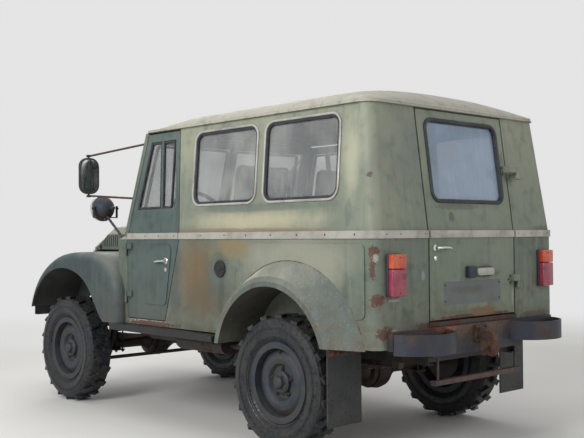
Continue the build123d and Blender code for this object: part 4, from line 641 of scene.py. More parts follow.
@dataclass(frozen=True)
class Moulding:
    """Hard black or dark plastic with scuffs and a dust film."""

    name: str
    base: str = "1e1f21"
    dust: str = "6e675a"
    gloss: float = 0.4

    def material(self) -> bpy.types.Material:
        """Builds the plastic's material."""
        g = Graph(self.name)
        broad = g.noise(9.0, 5.0)
        fine = g.noise(130.0, 4.0)
        colour = g.mix(g.window(broad, 0.42, 0.72, 0.35), tone(self.base), tone(self.dust))
        colour = g.mix(g.window(g.upward(), 0.4, 1.0, 0.3), colour, tone(self.dust))
        colour = g.mix(g.window(fine, 0.6, 0.72, 0.4), colour, tone("4c4c4b"))
        g.surface(colour, g.maths("ADD", g.window(broad, 0.2, 0.8, 0.3), self.gloss))
        g.relief(fine, 0.0004, 0.4)
        return g.material


class Studio:
    """Pale floor, even world light, soft lamps and the camera of the picture."""

    def __init__(self) -> None:
        """Sets the sizes of the floor and lamps and the camera's fitted place."""
        self.eye = Vector((-4.8062, 4.2134, 1.1876))
        self.yaw = -0.747
        self.pitch = 0.0174
        self.roll = -0.0074
        self.focal = 929.72
        self.width = 584
        self.sensor = 36.0
        self.backdrop = "e4e5e4"
        self.even_light = 0.42
        self.floor_radius = 60.0
        self.haze_span = (3.2, 9.0)
        self.aim = Vector((0.0, 0.0, 0.9))
        self.lamps: list[tuple[str, Triple, float, float]] = [
            ("key_lamp", (-1.6, 7.0, 4.4), 3.6, 420.0),
            ("fill_lamp", (-7.0, -1.2, 3.2), 4.5, 85.0),
            ("front_lamp", (6.4, -3.4, 4.6), 5.0, 150.0),
            ("top_lamp", (0.2, 0.8, 6.6), 5.5, 110.0),
        ]

    def floor(self) -> None:
        """Makes the pale floor on which the car stands, which melts into the backdrop far away."""
        bm = bmesh.new()
        bmesh.ops.create_circle(bm, cap_ends=True, segments=64, radius=self.floor_radius)
        mesh = bpy.data.meshes.new("floor")
        bm.to_mesh(mesh)
        bm.free()
        floor = bpy.data.objects.new("floor", mesh)
        bpy.context.scene.collection.objects.link(floor)
        g = Graph("floor_finish")
        blotch = g.noise(0.6, 3.0)
        g.surface(g.mix(g.window(blotch, 0.3, 0.7), tone("d6d5d1"), tone("dcdbd8")), 0.85)
        away = g.node("ShaderNodeVectorMath", operation="LENGTH")
        g.join(g.place, away.inputs[0])
        haze = g.node("ShaderNodeEmission")
        g.join(tone(self.backdrop), haze.inputs["Color"])
        blend = g.node("ShaderNodeMixShader")
        g.join(g.window(away.outputs["Value"], *self.haze_span), blend.inputs[0])
        g.join(g.shader.outputs["BSDF"], blend.inputs[1])
        g.join(haze.outputs[0], blend.inputs[2])
        g.join(blend.outputs[0], g.output.inputs["Surface"])
        mesh.materials.append(g.material)
        floor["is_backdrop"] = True

    def world(self) -> None:
        """Lights the car evenly, and shows a pale background to the camera, metal and glass."""
        world = bpy.data.worlds.new("studio_world")
        bpy.context.scene.world = world
        world.use_nodes = True
        nodes, links = world.node_tree.nodes, world.node_tree.links
        nodes.clear()
        out = nodes.new("ShaderNodeOutputWorld")
        pick = nodes.new("ShaderNodeMixShader")
        shades = (((1.0, 1.0, 1.0, 1.0), self.even_light), (tone(self.backdrop), 1.0))
        for index, (colour, strength) in enumerate(shades):
            plain = nodes.new("ShaderNodeBackground")
            plain.inputs["Color"].default_value = colour
            plain.inputs["Strength"].default_value = strength
            links.new(plain.outputs[0], pick.inputs[index + 1])
        rays = nodes.new("ShaderNodeLightPath").outputs
        clear = rays["Is Camera Ray"]
        for kind in ("Is Glossy Ray", "Is Transmission Ray"):
            total = nodes.new("ShaderNodeMath")
            total.operation = "ADD"
            total.use_clamp = True
            links.new(clear, total.inputs[0])
            links.new(rays[kind], total.inputs[1])
            clear = total.outputs[0]
        links.new(clear, pick.inputs[0])
        links.new(pick.outputs[0], out.inputs["Surface"])

    def lights(self) -> None:
        """Makes the soft lamps, each turned to the middle of the car."""
        for name, place, size, power in self.lamps:
            data = bpy.data.lights.new(name, "AREA")
            data.shape = "DISK"
            data.size = size
            data.energy = power
            lamp = bpy.data.objects.new(name, data)
            lamp.location = place
            lamp.rotation_euler = (self.aim - Vector(place)).to_track_quat("-Z", "Y").to_euler()
            bpy.context.scene.collection.objects.link(lamp)

    def camera(self) -> None:
        """Places the camera where the picture was taken from."""
        level = math.cos(self.pitch)
        forward = Vector((math.cos(self.yaw) * level, math.sin(self.yaw) * level, math.sin(self.pitch)))
        right = forward.cross(UPWARD).normalized()
        up = right.cross(forward)
        cosine, sine = math.cos(self.roll), math.sin(self.roll)
        turned_right = right * cosine + up * sine
        turned_up = up * cosine - right * sine
        data = bpy.data.cameras.new("picture_camera")
        data.sensor_width = self.sensor
        data.lens = self.focal / self.width * self.sensor
        data.clip_end = 200.0
        camera = bpy.data.objects.new("picture_camera", data)
        turn = Matrix((turned_right, turned_up, -forward)).transposed()
        camera.matrix_world = Matrix.Translation(self.eye) @ turn.to_4x4()
        bpy.context.scene.collection.objects.link(camera)
        bpy.context.scene.camera = camera

    def build(self) -> None:
        """Makes the whole studio."""
        self.camera()
        self.floor()
        self.world()
        self.lights()
        bpy.context.scene.view_settings.view_transform = "Standard"
        LOG.info("studio built with %d lamps", len(self.lamps))


class Shaper:
    """A mesh under work, with the shaping moves that the pieces share."""

    def __init__(self) -> None:
        """Starts an empty mesh."""
        self.bm = bmesh.new()

    def block(self, low: Triple, high: Triple, soften: float = 0.0, steps: int = 2) -> None:
        """Adds a box between two corners with softened edges.

        Args:
            low: lowest corner.
            high: highest corner.
            soften: width of the rounding on its edges.
            steps: faces across that rounding.
        """
        made = bmesh.ops.create_cube(self.bm, size=1.0)["verts"]
        bmesh.ops.scale(self.bm, vec=Vector(high) - Vector(low), verts=made)
        bmesh.ops.translate(self.bm, vec=(Vector(low) + Vector(high)) / 2, verts=made)
        self._soften(made, soften, steps)

    def bar(self, start: Vector, end: Vector, half_width: float, half_depth: float) -> None:
        """Adds a straight flat bar with softened edges between two points.

        Args:
            start: middle of one end.
            end: middle of the other end.
            half_width: half of the width across the bar.
            half_depth: half of the depth.
        """
        run = end - start
        turn = run.to_track_quat("Z", "Y").to_matrix().to_4x4()
        made = bmesh.ops.create_cube(self.bm, size=1.0)["verts"]
        bmesh.ops.scale(self.bm, vec=(2 * half_width, 2 * half_depth, run.length), verts=made)
        bmesh.ops.transform(self.bm, matrix=Matrix.Translation((start + end) / 2) @ turn, verts=made)
        self._soften(made, min(half_width, half_depth) * 0.4, 2)

    def _soften(self, made: Sequence[bmesh.types.BMVert], width: float, steps: int) -> None:
        """Rounds the edges among the given vertices."""
        if width > 0.0:
            chosen = set(made)
            edges = [e for e in self.bm.edges if e.verts[0] in chosen and e.verts[1] in chosen]
            self._bevel(edges, width, steps, clamp=True)

    def _bevel(
        self,
        geom: Sequence[Union[bmesh.types.BMEdge, bmesh.types.BMVert]],
        offset: float,
        segments: int,
        affect: str = "EDGES",
        clamp: bool = False,
    ) -> None:
        """Rounds edges or corners.

        Args:
            geom: the edges or vertices to round.
            offset: width of the rounding.
            segments: faces across it.
            affect: EDGES or VERTICES.
            clamp: whether the rounding stops where it would overlap.
        """
        bmesh.ops.bevel(
            self.bm,
            geom=geom,
            offset=offset,
            offset_type="OFFSET",
            segments=segments,
            profile=0.5,
            affect=affect,
            material=-1,
            clamp_overlap=clamp,
        )

    def turned(self, profile: Profile, centre: Triple, axis: Triple, steps: int = 32) -> None:
        """Adds a shape turned on a lathe.

        Args:
            profile: radius and place along the axis of each point of the profile.
            centre: a point of the axis.
            axis: direction of the axis.
            steps: faces round the turn.
        """
        line = Vector(axis).normalized()
        out = line.orthogonal().normalized()
        verts = [self.bm.verts.new(Vector(centre) + out * radius + line * along) for radius, along in profile]
        edges = [self.bm.edges.new(pair) for pair in zip(verts, verts[1:])]
        bmesh.ops.spin(
            self.bm,
            geom=verts + edges,
            cent=centre,
            axis=line,
            dvec=(0.0, 0.0, 0.0),
            angle=math.tau,
            steps=steps,
            use_merge=True,
            use_duplicate=False,
        )

    def rim(
        self,
        corners: Sequence[Vector],
        corner: float,
        width: float,
        rise: float,
        outward: Vector,
        soften: float = 0.003,
    ) -> None:
        """Adds a flat rounded frame, such as a window trim, on the plane of its corners.

        Args:
            corners: outer corners in order.
            corner: radius of the outer corners.
            width: width of the frame, inward from the outer line.
            rise: thickness of the frame.
            outward: direction in which it is thick.
            soften: rounding of its edges.
        """
        face = self._outline(corners, corner)
        ring = bmesh.ops.inset_individual(self.bm, faces=[face], thickness=width, use_even_offset=True)["faces"]
        bmesh.ops.delete(self.bm, geom=[face], context="FACES")
        self._lift(ring, rise, outward, soften)

    def plate(
        self, corners: Sequence[Vector], corner: float, rise: float, outward: Vector, soften: float = 0.001
    ) -> None:
        """Adds a flat plate with rounded corners on the plane of its corners.

        Args:
            corners: corners in order.
            corner: radius of the corners.
            rise: thickness of the plate.
            outward: direction in which it is thick.
            soften: rounding of its upper edge.
        """
        self._lift([self._outline(corners, corner)], rise, outward, soften)

    def _outline(self, corners: Sequence[Vector], corner: float) -> bmesh.types.BMFace:
        """Adds a flat face with rounded corners, and gives that face back."""
        before = set(self.bm.verts)
        verts = [self.bm.verts.new(point) for point in corners]
        self.bm.faces.new(verts)
        if corner > 0.0:
            self._bevel(verts, corner, CORNER_STEPS, "VERTICES")
        fresh = [f for f in self.bm.faces if not any(v in before for v in f.verts)]
        return max(fresh, key=lambda f: f.calc_area())

    def _lift(self, faces: Sequence[bmesh.types.BMFace], rise: float, outward: Vector, soften: float) -> None:
        """Thickens flat faces outward and rounds the edges of their upper side."""
        lifted = bmesh.ops.extrude_face_region(self.bm, geom=faces, use_keep_orig=True)["geom"]
        top = [v for v in lifted if isinstance(v, bmesh.types.BMVert)]
        bmesh.ops.translate(self.bm, vec=outward.normalized() * rise, verts=top)
        crest = set(top)
        edges = [e for e in self.bm.edges if e.verts[0] in crest and e.verts[1] in crest and len(e.link_faces) == 2]
        edges = [e for e in edges if abs(e.link_faces[0].normal.dot(e.link_faces[1].normal)) < CREASE_DOT]
        self._bevel(edges, soften, 2)

    def screw(self, place: Vector, outward: Vector, radius: float, height: float) -> None:
        """Adds a domed screw head that stands on a surface."""
        dome = [(radius, -0.001), (radius, height * 0.45), (radius * 0.72, height * 0.85), (radius * 0.2, height)]
        self.turned(dome + [(0.0, height)], place, outward, 10)

    def nut(self, place: Vector, outward: Vector, radius: float, height: float) -> None:
        """Adds a six-sided nut with the end of its stud."""
        shape = [(radius, 0.0), (radius, height * 0.85), (radius * 0.84, height)]
        stud = [(radius * 0.55, height), (radius * 0.5, height * 1.5), (0.0, height * 1.5)]
        self.turned(shape + stud, place, outward, 6)

    def piece(
        self, name: str, material: bpy.types.Material, body: str, smooth: float = SMOOTH_ANGLE
    ) -> bpy.types.Object:
        """Closes the mesh into an object that rides on a body.

        Args:
            name: name of the piece.
            material: its finish.
            body: body of the car that it rides on.
            smooth: angle in degrees up to which faces meet smoothly.

        Returns:
            The object.
        """
        bmesh.ops.remove_doubles(self.bm, verts=self.bm.verts, dist=MERGE_REACH)
        bmesh.ops.recalc_face_normals(self.bm, faces=self.bm.faces)
        for face in self.bm.faces:
            face.smooth = True
        for edge in self.bm.edges:
            if len(edge.link_faces) != 2 or edge.calc_face_angle(0.0) > math.radians(smooth):
                edge.smooth = False
        mesh = bpy.data.meshes.new(name)
        self.bm.to_mesh(mesh)
        self.bm.free()
        return hang(bpy.data.objects.new(name, mesh), material, body)


def hang(made: bpy.types.Object, material: bpy.types.Material, body: str) -> bpy.types.Object:
    """Links an object, dresses it and makes it ride on a body.

    Args:
        made: the new object.
        material: its finish.
        body: body of the car that it rides on.

    Returns:
        The same object.
    """
    bpy.context.scene.collection.objects.link(made)
    made.data.materials.clear()
    made.data.materials.append(material)
    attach(made, body)
    LOG.info("%s rides on %s", made.name, body)
    return made


def tube(name: str, points: Sequence[Triple], radius: float, closed: bool = False, steps: int = 3) -> bpy.types.Mesh:
    """Round bar along a smooth line.

    Args:
        name: name of the mesh.
        points: points that guide the line.
        radius: radius of the bar.
        closed: whether the line runs round.
        steps: fineness of the bar's round.

    Returns:
        The bar's mesh.
    """
    curve = bpy.data.curves.new(name, "CURVE")
    curve.dimensions = "3D"
    curve.bevel_depth = radius
    curve.bevel_resolution = steps
    curve.use_fill_caps = True
    spline = curve.splines.new("NURBS")
    spline.points.add(len(points) - 1)
    for target, point in zip(spline.points, points):
        target.co = (*point, 1.0)
    spline.order_u = 3
    spline.use_endpoint_u = not closed
    spline.use_cyclic_u = closed
    spline.resolution_u = 8
    holder = bpy.data.objects.new(name + "_line", curve)
    bpy.context.scene.collection.objects.link(holder)
    bpy.context.view_layer.update()
    mesh = bpy.data.meshes.new_from_object(holder)
    mesh.name = name
    bpy.data.objects.remove(holder)
    bpy.data.curves.remove(curve)
    for polygon in mesh.polygons:
        polygon.use_smooth = True
    return mesh


TUB_MARKS_AND_PAINTED_SUN: tuple[Patch, ...] = (
    # Painted sunlight: a pale patch over the rear quarter below the belt.
    Patch("9b9886", (-1.15, 0.8, 1.05), (0.62, 0.1, 0.24), 0.55, 0.6, 4.0, 0.7),
    Patch("3c4445", (-0.02, 0.8, 0.95), (0.12, 0.1, 0.5), 0.7, 0.8, 5.0, 0.7),
    Patch("4b493b", (-0.34, 0.8, 0.9), (0.42, 0.1, 0.46), 0.9, 1.0, 4.0, 0.9),
    Patch("68543a", (-0.24, 0.8, 1.0), (0.2, 0.1, 0.3), 0.75, 1.2, 5.0, 0.8),
    Patch("7d6b4a", (-0.6, 0.8, 1.11), (0.26, 0.1, 0.1), 0.7, 1.4, 7.0, 0.7),
    Patch("5c4a37", (-0.3, 0.8, 0.8), (0.2, 0.1, 0.14), 0.5, 1.4, 9.0, 0.7),
    Patch("485859", (-0.47, 0.8, 0.96), (0.14, 0.1, 0.18), 0.6, 0.9, 8.0, 0.8),
    Patch("3c3a30", (-0.5, 0.8, 0.84), (0.04, 0.1, 0.14), 0.5, 1.4, 14.0, 0.6),
    Patch(RUST, (-1.7, 0.8, 1.1), (0.03, 0.06, 0.035), 1.0, 2.4, 90.0, 0.3),
    Patch(RUST, (-1.695, 0.8, 1.02), (0.018, 0.04, 0.07), 0.9, 2.4, 100.0, 0.3),
    Patch(RUST, (-1.715, 0.785, 0.86), (0.035, 0.06, 0.035), 1.0, 2.4, 90.0, 0.3),
    Patch(PALE, (-1.71, 0.79, 1.07), (0.014, 0.03, 0.022), 0.7, 2.4, 160.0, 0.3),
    Patch(PALE, (-1.727, 0.67, 0.855), (0.05, 0.045, 0.009), 0.7, 2.4, 170.0, 0.3),
    Patch("8b949c", (-1.727, 0.437, 0.975), (0.06, 0.016, 0.03), 0.6, 0.9, 30.0, 0.4),
    Patch(PALE, (-1.727, 0.67, 0.7), (0.06, 0.03, 0.012), 0.6, 2.4, 160.0, 0.3),
    Patch(RUST, (-1.727, 0.74, 0.69), (0.06, 0.06, 0.04), 0.9, 2.2, 60.0, 0.3),
    Patch(RUST, (-1.72, -0.79, 0.8), (0.05, 0.04, 0.12), 1.0, 2.2, 50.0, 0.3),
    Patch(RUST, (-1.727, 0.4, 0.71), (0.06, 0.1, 0.02), 0.9, 2.2, 60.0, 0.3),
    Patch("4d4032", (-1.727, -0.6, 0.71), (0.06, 0.22, 0.03), 0.7, 1.8, 30.0, 0.5),
    Patch(PALE, (0.24, 0.8, 0.632), (0.22, 0.06, 0.02), 0.9, 2.4, 80.0, 0.15),
    Patch(RUST, (0.22, 0.8, 0.626), (0.3, 0.06, 0.02), 0.9, 2.2, 50.0, 0.3),
    Patch(RUST, (-0.9, -0.8, 0.66), (0.6, 0.06, 0.03), 0.9, 2.0, 40.0, 0.3),
)
BACK_DOOR_PATCHES: tuple[Patch, ...] = (
    Patch("585d5e", (-1.74, 0.011, 0.87), (0.08, 0.262, 0.064), 0.85, 0.12, 12.0, 0.04, True),
    Patch("4c4438", (-1.74, 0.06, 0.885), (0.08, 0.2, 0.03), 0.45, 1.6, 18.0, 0.6),
    Patch(RUST, (-1.74, 0.0, 0.742), (0.08, 0.4, 0.014), 1.0, 1.3, 24.0, 0.3),
    Patch("6f5236", (-1.74, -0.08, 0.757), (0.08, 0.13, 0.035), 0.9, 1.5, 24.0, 0.3),
    Patch("4a5048", (-1.72, 0.175, 1.283), (0.06, 0.028, 0.034), 0.8, 0.8, 40.0, 0.4),
    Patch("555b50", (-1.72, 0.12, 1.335), (0.06, 0.24, 0.02), 0.7, 1.3, 34.0, 0.3),
    Patch("3f4238", (-1.74, -0.13, 0.975), (0.08, 0.12, 0.05), 0.5, 1.4, 20.0, 0.5),
    Patch(PALE, (-1.74, -0.366, 0.83), (0.08, 0.006, 0.06), 0.7, 1.9, 90.0, 0.3),
    Patch("53503f", (-1.74, 0.06, 0.765), (0.08, 0.26, 0.014), 0.6, 2.0, 90.0, 0.4),
)
UPPER_MARKS_AND_PAINTED_LIGHT: tuple[Patch, ...] = (
    # Painted sunlight: pale patches under the side panes and on the rear pillar.
    Patch("b3ab91", (-0.8, 0.79, 1.27), (0.78, 0.1, 0.09), 0.65, 1.0, 5.0, 0.8),
    Patch("aba993", (-1.54, 0.78, 1.6), (0.08, 0.1, 0.34), 0.6, 1.0, 6.0, 0.8),
    # Painted shadow of the proud window frames: a dark spot behind the rear pane's lower corner and a dark band under
    # both panes.
    Patch("525c58", (-1.53, 0.78, 1.3), (0.03, 0.1, 0.09), 0.5, 1.1, 12.0, 0.5),
    Patch("566058", (-0.8, 0.77, 1.345), (0.72, 0.1, 0.03), 0.6, 1.0, 10.0, 0.5),
    Patch(RUST, (-1.66, 0.78, 1.49), (0.02, 0.04, 0.016), 0.9, 1.5, 60.0, 0.3),
    Patch(PRIMER, (-0.6, 0.79, 1.218), (0.9, 0.1, 0.014), 0.6, 1.6, 20.0, 0.4),
    Patch("4d4b40", (-1.7, -0.7, 1.22), (0.1, 0.12, 0.02), 0.6, 1.3, 40.0, 0.4),
    # Painted shade: the rear wall of the hardtop darker and bluer.
    Patch("566060", (-1.66, 0.2, 1.5), (0.05, 0.75, 0.6), 0.5, 1.0, 5.0, 0.7),
)
STAY_PATCHES: tuple[Patch, ...] = (
    Patch("20252b", (0.75, 0.948, 1.598), (0.1, 0.078, 0.13), 1.0, 0.2, 12.0, 0.05, True),
    Patch("20252b", (0.75, -0.948, 1.598), (0.1, 0.078, 0.13), 1.0, 0.2, 12.0, 0.05, True),
)
BEAM_PATCHES: tuple[Patch, ...] = (
    Patch("5a4433", (-1.75, 0.0, 0.66), (0.07, 0.3, 0.1), 0.95, 1.0, 14.0, 0.4),
    Patch("3a3a33", (-1.75, 0.0, 0.62), (0.07, 0.3, 0.05), 0.7, 1.3, 20.0, 0.4),
    Patch("7a4a30", (-1.75, 0.3, 0.69), (0.07, 0.12, 0.02), 0.9, 1.4, 30.0, 0.3),
    Patch("6b4433", (-1.78, -0.66, 0.6), (0.1, 0.12, 0.03), 0.7, 1.5, 30.0, 0.3),
    Patch("5a4136", (-1.74, 0.0, 0.44), (0.08, 0.5, 0.12), 0.8, 1.2, 22.0, 0.4),
)


@dataclass(frozen=True)
class Palette:
    """Every finish of the car by the name of its node or piece."""

    tub: WornPaint = WornPaint("tub_paint", "586359", "7b8070", "35413f", patches=TUB_MARKS_AND_PAINTED_SUN)
    upper: WornPaint = WornPaint(
        "hardtop_paint", "666f62", "898c7a", "4c5854", grime=0.1, chips=0.35, patches=UPPER_MARKS_AND_PAINTED_LIGHT
    )
    # Door colours darker and bluer than the tub's: partly the doors' own paint and partly painted shade.
    door: WornPaint = WornPaint(
        "door_paint", "3a4847", "53615b", "26322f", dust="858578", bleach_span=(1.0, 2.0), dust_share=0.45, grime=0.4
    )
    back_door: WornPaint = WornPaint(
        "back_door_paint", "667061", "7e8475", "4c564c", chips=0.6, patches=BACK_DOOR_PATCHES
    )
    roof: WornPaint = WornPaint(
        "roof_paint", "87867b", "a09d91", "65665e", dust="a19d92", dust_share=0.6, grime=0.0, under=0.2, edge=0.7
    )
    # The pale dust on the flare tops is partly real dust and partly painted sunlight.
    fender: WornPaint = WornPaint(
        "fender_paint", "48534e", "6f7265", "2f393b", dust="cfc7b3", dust_share=1.0, chips=0.7, edge=0.9
    )
    # Wing colours darker and bluer than the tub's: partly the wings' own paint and partly painted shade.
    wing: WornPaint = WornPaint(
        "wing_paint", "2f3d40", "47544f", "1f2a2c", dust="85847a", dust_share=0.5, grime=0.35, chips=0.5, edge=0.8
    )
    nose: WornPaint = WornPaint("nose_paint", "48544d", "666d60", "313b37", dust_share=0.6)
    cabin: WornPaint = WornPaint("cabin_paint", "566158", "6f7567", "3b443c", grime=0.9, dust_share=0.9)
    floor: WornPaint = WornPaint("floor_paint", "3c3f38", "57564a", "27292a", grime=1.0, dust_share=1.0, chips=0.9)
    wheel: WornPaint = WornPaint(
        "wheel_paint",
        "1b2530",
        "29333d",
        "11171d",
        dust="46474a",
        dust_share=0.35,
        grime=0.2,
        chips=0.6,
        edge=0.7,
        rust="4a3429",
    )
    frame: RustySteel = RustySteel("frame_steel", "222224", "4d362b", "544c40", 0.6, 0.5)
    axle: RustySteel = RustySteel("axle_steel", "242221", "4a3529", "534a3e", 0.65, 0.7)
    cast: RustySteel = RustySteel("cast_iron", "2b2a28", "46382b", "463f35", 0.5, 0.7)
    bumper: RustySteel = RustySteel(
        "bumper_steel", "262b36", "4f3a31", rust_share=0.45, dirt_share=0.3, patches=BEAM_PATCHES
    )
    rusty: RustySteel = RustySteel("rusted_steel", "33302e", "5d4031", "504638", 0.85, 0.4)
    stay: RustySteel = RustySteel("stay_steel", "352d2c", "553c31", "4a4038", 0.8, 0.2, patches=STAY_PATCHES)
    engine: RustySteel = RustySteel("engine_enamel", "3a403e", "4b3a2d", "3b352c", 0.4, 0.9)
    board: RustySteel = RustySteel("board_steel", "1b2026", "40332b", "4d483e", 0.35, 0.5)
    tyre: DryRubber = DryRubber("tyre_rubber", "14181d", "44423c", 0.42, 60.0)
    flap: DryRubber = DryRubber("flap_rubber", "1f2225", "4b4842", 0.5, 45.0)
    seal: DryRubber = DryRubber("seal_rubber", "1b1e23", "4c4e51", 0.35, 150.0)
    side_glass: DustyGlass = DustyGlass("side_glass", "bdbdb9", 0.3, 0.6)
    door_glass: DustyGlass = DustyGlass("door_glass", "a2a39f", 0.16, 0.5)
    # Painted reflection: the blue film and tint of the rear pane stand for mirrored sky; the clouds and streaks of the
    # film are dust.
    rear_glass: DustyGlass = DustyGlass("rear_glass", "9db1c9", 0.58, 0.82, 0.06, "8596ab")
    belt: WornMetal = WornMetal("belt_rail", "a9a69e", "817e76", "54443a", 0.35, 0.4, 0.7)
    trim: WornMetal = WornMetal("window_trim", "b4b2ab", "7c7a74", "54483e", 0.5, 0.35, 0.7)
    chrome: WornMetal = WornMetal("worn_chrome", "d2d2ce", "8b8a86", "5f4b3c", 1.0, 0.16, 0.4)
    bolt: WornMetal = WornMetal("dark_bolt", "3a3631", "4f4338", "2a211d", 0.6, 0.5, 0.7)
    amber: LampPlastic = LampPlastic("amber_lens", "b03c1c", "c65c38")
    red: LampPlastic = LampPlastic("red_lens", "80223a", "983c50")
    lamp_glass: FlutedGlass = FlutedGlass("lamp_glass")
    lamp_body: WornPaint = WornPaint(
        "lamp_enamel", "1a2130", "283345", "11161f", dust="4a4842", grime=0.0, chips=0.5, bleach_span=(0.9, 1.6)
    )
    cover: Leatherette = Leatherette("seat_cover")
    piping: Leatherette = Leatherette("seat_piping", "232120", "45413a")
    plastic: Moulding = Moulding("black_plastic")
    cap: WornPaint = WornPaint(
        "cap_paint", "0f1418", "1a2024", "0a0d10", dust="2b2d2c", chips=0.5, edge=0.6, rust="2e241e"
    )
    grimy_lens: LampPlastic = LampPlastic("reflector_lens", "5c1a28", "7a3340", "2a1a1c")
    worn_alloy: WornMetal = WornMetal("worn_alloy", "a3a196", "76746b", "4b3f36", 0.3, 0.5, 0.7)
    mirror: WornMetal = WornMetal("mirror_glass", "8d9093", "6a6560", "3d3029", 1.0, 0.08, 0.5)


FINISHED_NODES: dict[str, tuple[str, ...]] = {
    "tub": ("tub_sides",),
    "upper": ("hardtop_sides",),
    "roof": ("roof",),
    "nose": ("windscreen_frame", "cowl", "bonnet", "grille_panel"),
    "wing": ("front_wings",),
    "fender": ("rear_fenders",),
    "door": ("door_left", "door_right"),
    "back_door": ("rear_door",),
    "belt": ("belt_strips", "door_fittings_left", "door_fittings_right", "rear_door_fittings"),
    "side_glass": ("fixed_glass",),
    "door_glass": ("door_glass_left", "door_glass_right"),
    "rear_glass": ("rear_door_glass",),
    "floor": ("floor_pan",),
    "board": ("running_boards",),
    "frame": ("chassis_frame", "track_rod", "fuel_tank"),
    "seal": ("body_mounts",),
    "rusty": ("rear_sill", "leaf_springs", "exhaust", "tow_hook"),
    "axle": ("front_axle", "rear_axle", "knuckle_left", "knuckle_right"),
    "cast": ("drivetrain",),
    "engine": ("engine",),
    "bumper": ("front_bumper", "rear_bumpers"),
    "flap": ("mud_flaps",),
    "lamp_glass": ("headlamps",),
    "red": ("tail_lamps",),
    "stay": ("mirrors",),
    "lamp_body": ("search_lamp",),
    "cover": ("seats",),
    "plastic": ("steering_column", "steering_wheel"),
    "tyre": ("tyre_front_left", "tyre_front_right", "tyre_rear_left", "tyre_rear_right"),
    "wheel": ("wheel_front_left", "wheel_front_right", "wheel_rear_left", "wheel_rear_right"),
}


class Dresser:
    """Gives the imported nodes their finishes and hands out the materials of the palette."""

    def __init__(self, nodes: dict[str, bpy.types.Object], palette: Palette) -> None:
        """Keeps the nodes and the palette.

        Args:
            nodes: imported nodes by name.
            palette: every finish.
        """
        self.nodes = nodes
        self.palette = palette
        self._made: dict[str, bpy.types.Material] = {}

    def material(self, name: str) -> bpy.types.Material:
        """Material of a finish, made once."""
        if name not in self._made:
            self._made[name] = getattr(self.palette, name).material()
        return self._made[name]

    def dress(self) -> None:
        """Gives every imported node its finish."""
        table = {node: finish for finish, names in FINISHED_NODES.items() for node in names}
        for name, node in self.nodes.items():
            finish = self.material(table[name])
            for slot in node.material_slots:
                slot.material = finish
            LOG.info("node %s has %s", name, finish.name)


def side_normal(side: Side, z: float) -> Vector:
    """Outward direction of a side wall at a height."""
    return Vector((0.0, side.value, 0.0789 if z > BELT_Z else 0.0)).normalized()


def side_point(side: Side, x: float, z: float, out: float = 0.0) -> Vector:
    """Point of a side wall at x and z, moved out along the wall's normal."""
    return side.at(x, side_wall(z), z) + side_normal(side, z) * out


def back_normal(z: float) -> Vector:
    """Outward direction of the rear wall at a height."""
    return Vector((-1.0, 0.0, 0.1334 if z > BELT_Z else 0.0)).normalized()


def back_point(y: float, z: float, out: float = 0.0) -> Vector:
    """Point of the rear wall at y and z, moved out along the wall's normal."""
    return Vector((rear_wall(z), y, z)) + back_normal(z) * out


def screen_point(y: float, z: float, out: float = 0.0) -> Vector:
    """Point of the windscreen frame's front face at y and z, moved out along its normal."""
    share = (z - SCREEN_FOOT.z) / (SCREEN_HEAD.z - SCREEN_FOOT.z)
    place = SCREEN_FOOT.lerp(SCREEN_HEAD, share)
    return Vector((place.x, y, z)) + SCREEN_NORMAL * out


def quad(first: float, last: float, low: float, high: float) -> list[tuple[float, float]]:
    """Corners of a box in order, as pairs of an along-value and a height."""
    return [(first, low), (first, high), (last, high), (last, low)]


def spokes(count: int, radius: float, phase: float = 0.0) -> list[Vector]:
    """Evenly spread offsets round an axis that runs across the car."""
    turns = [math.tau * turn / count + phase for turn in range(count)]
    return [Vector((math.cos(angle), 0.0, math.sin(angle))) * radius for angle in turns]


class Ground:
    """Surface of an object, for pieces that have to sit on a curved panel."""

    def __init__(self, node: bpy.types.Object) -> None:
        """Reads the object's surface."""
        self.tree = BVHTree.FromObject(node, bpy.context.evaluated_depsgraph_get())

    def hit(self, start: Vector, direction: Vector) -> tuple[Vector, Vector]:
        """Point and normal where a line from start first meets the surface.

        Args:
            start: start of the line.
            direction: direction of the line.

        Returns:
            The point and the outward normal there.
        """
        place, normal, _, _ = self.tree.ray_cast(start, direction)
        if place is None:
            raise ValueError(f"nothing of the panel lies under {start}")
        return place, normal if normal.dot(direction) < 0.0 else -normal


@dataclass
class Assembly:
    """A group of pieces that takes its finishes from one dresser."""

    dresser: Dresser

    def build(self) -> None:
        """Makes the pieces of the group."""
        raise NotImplementedError

    def finish(
        self, shaper: Shaper, name: str, finish: str, body: str = BODY, slot: str = "", smooth: float = SMOOTH_ANGLE
    ) -> bpy.types.Object:
        """Closes a mesh into a finished piece.

        Args:
            shaper: the mesh.
            name: name of the piece.
            finish: name of its finish in the palette.
            body: body of the car that it rides on.
            slot: not used.
            smooth: angle in degrees up to which faces meet smoothly.

        Returns:
            The piece.
        """
        return shaper.piece(name, self.dresser.material(finish), body, smooth)

    def rod(
        self,
        name: str,
        points: Sequence[Triple],
        radius: float,
        finish: str,
        body: str = BODY,
        closed: bool = False,
        steps: int = 4,
    ) -> None:
        """Makes a round bar along a smooth line as a piece of its own.

        Args:
            name: name of the piece.
            points: points that guide the line.
            radius: radius of the bar.
            finish: name of its finish in the palette.
            body: body of the car that it rides on.
            closed: whether the line runs round.
            steps: fineness of the bar's round.
        """
        made = bpy.data.objects.new(name, tube(name, points, radius, closed, steps))
        hang(made, self.dresser.material(finish), body)


@dataclass(frozen=True)
class Ring:
    """One rounded ring on a wall: how far round its opening it stands, its corners and its section."""

    grow: float
    corner: float
    width: float
    rise: float
    depth: float


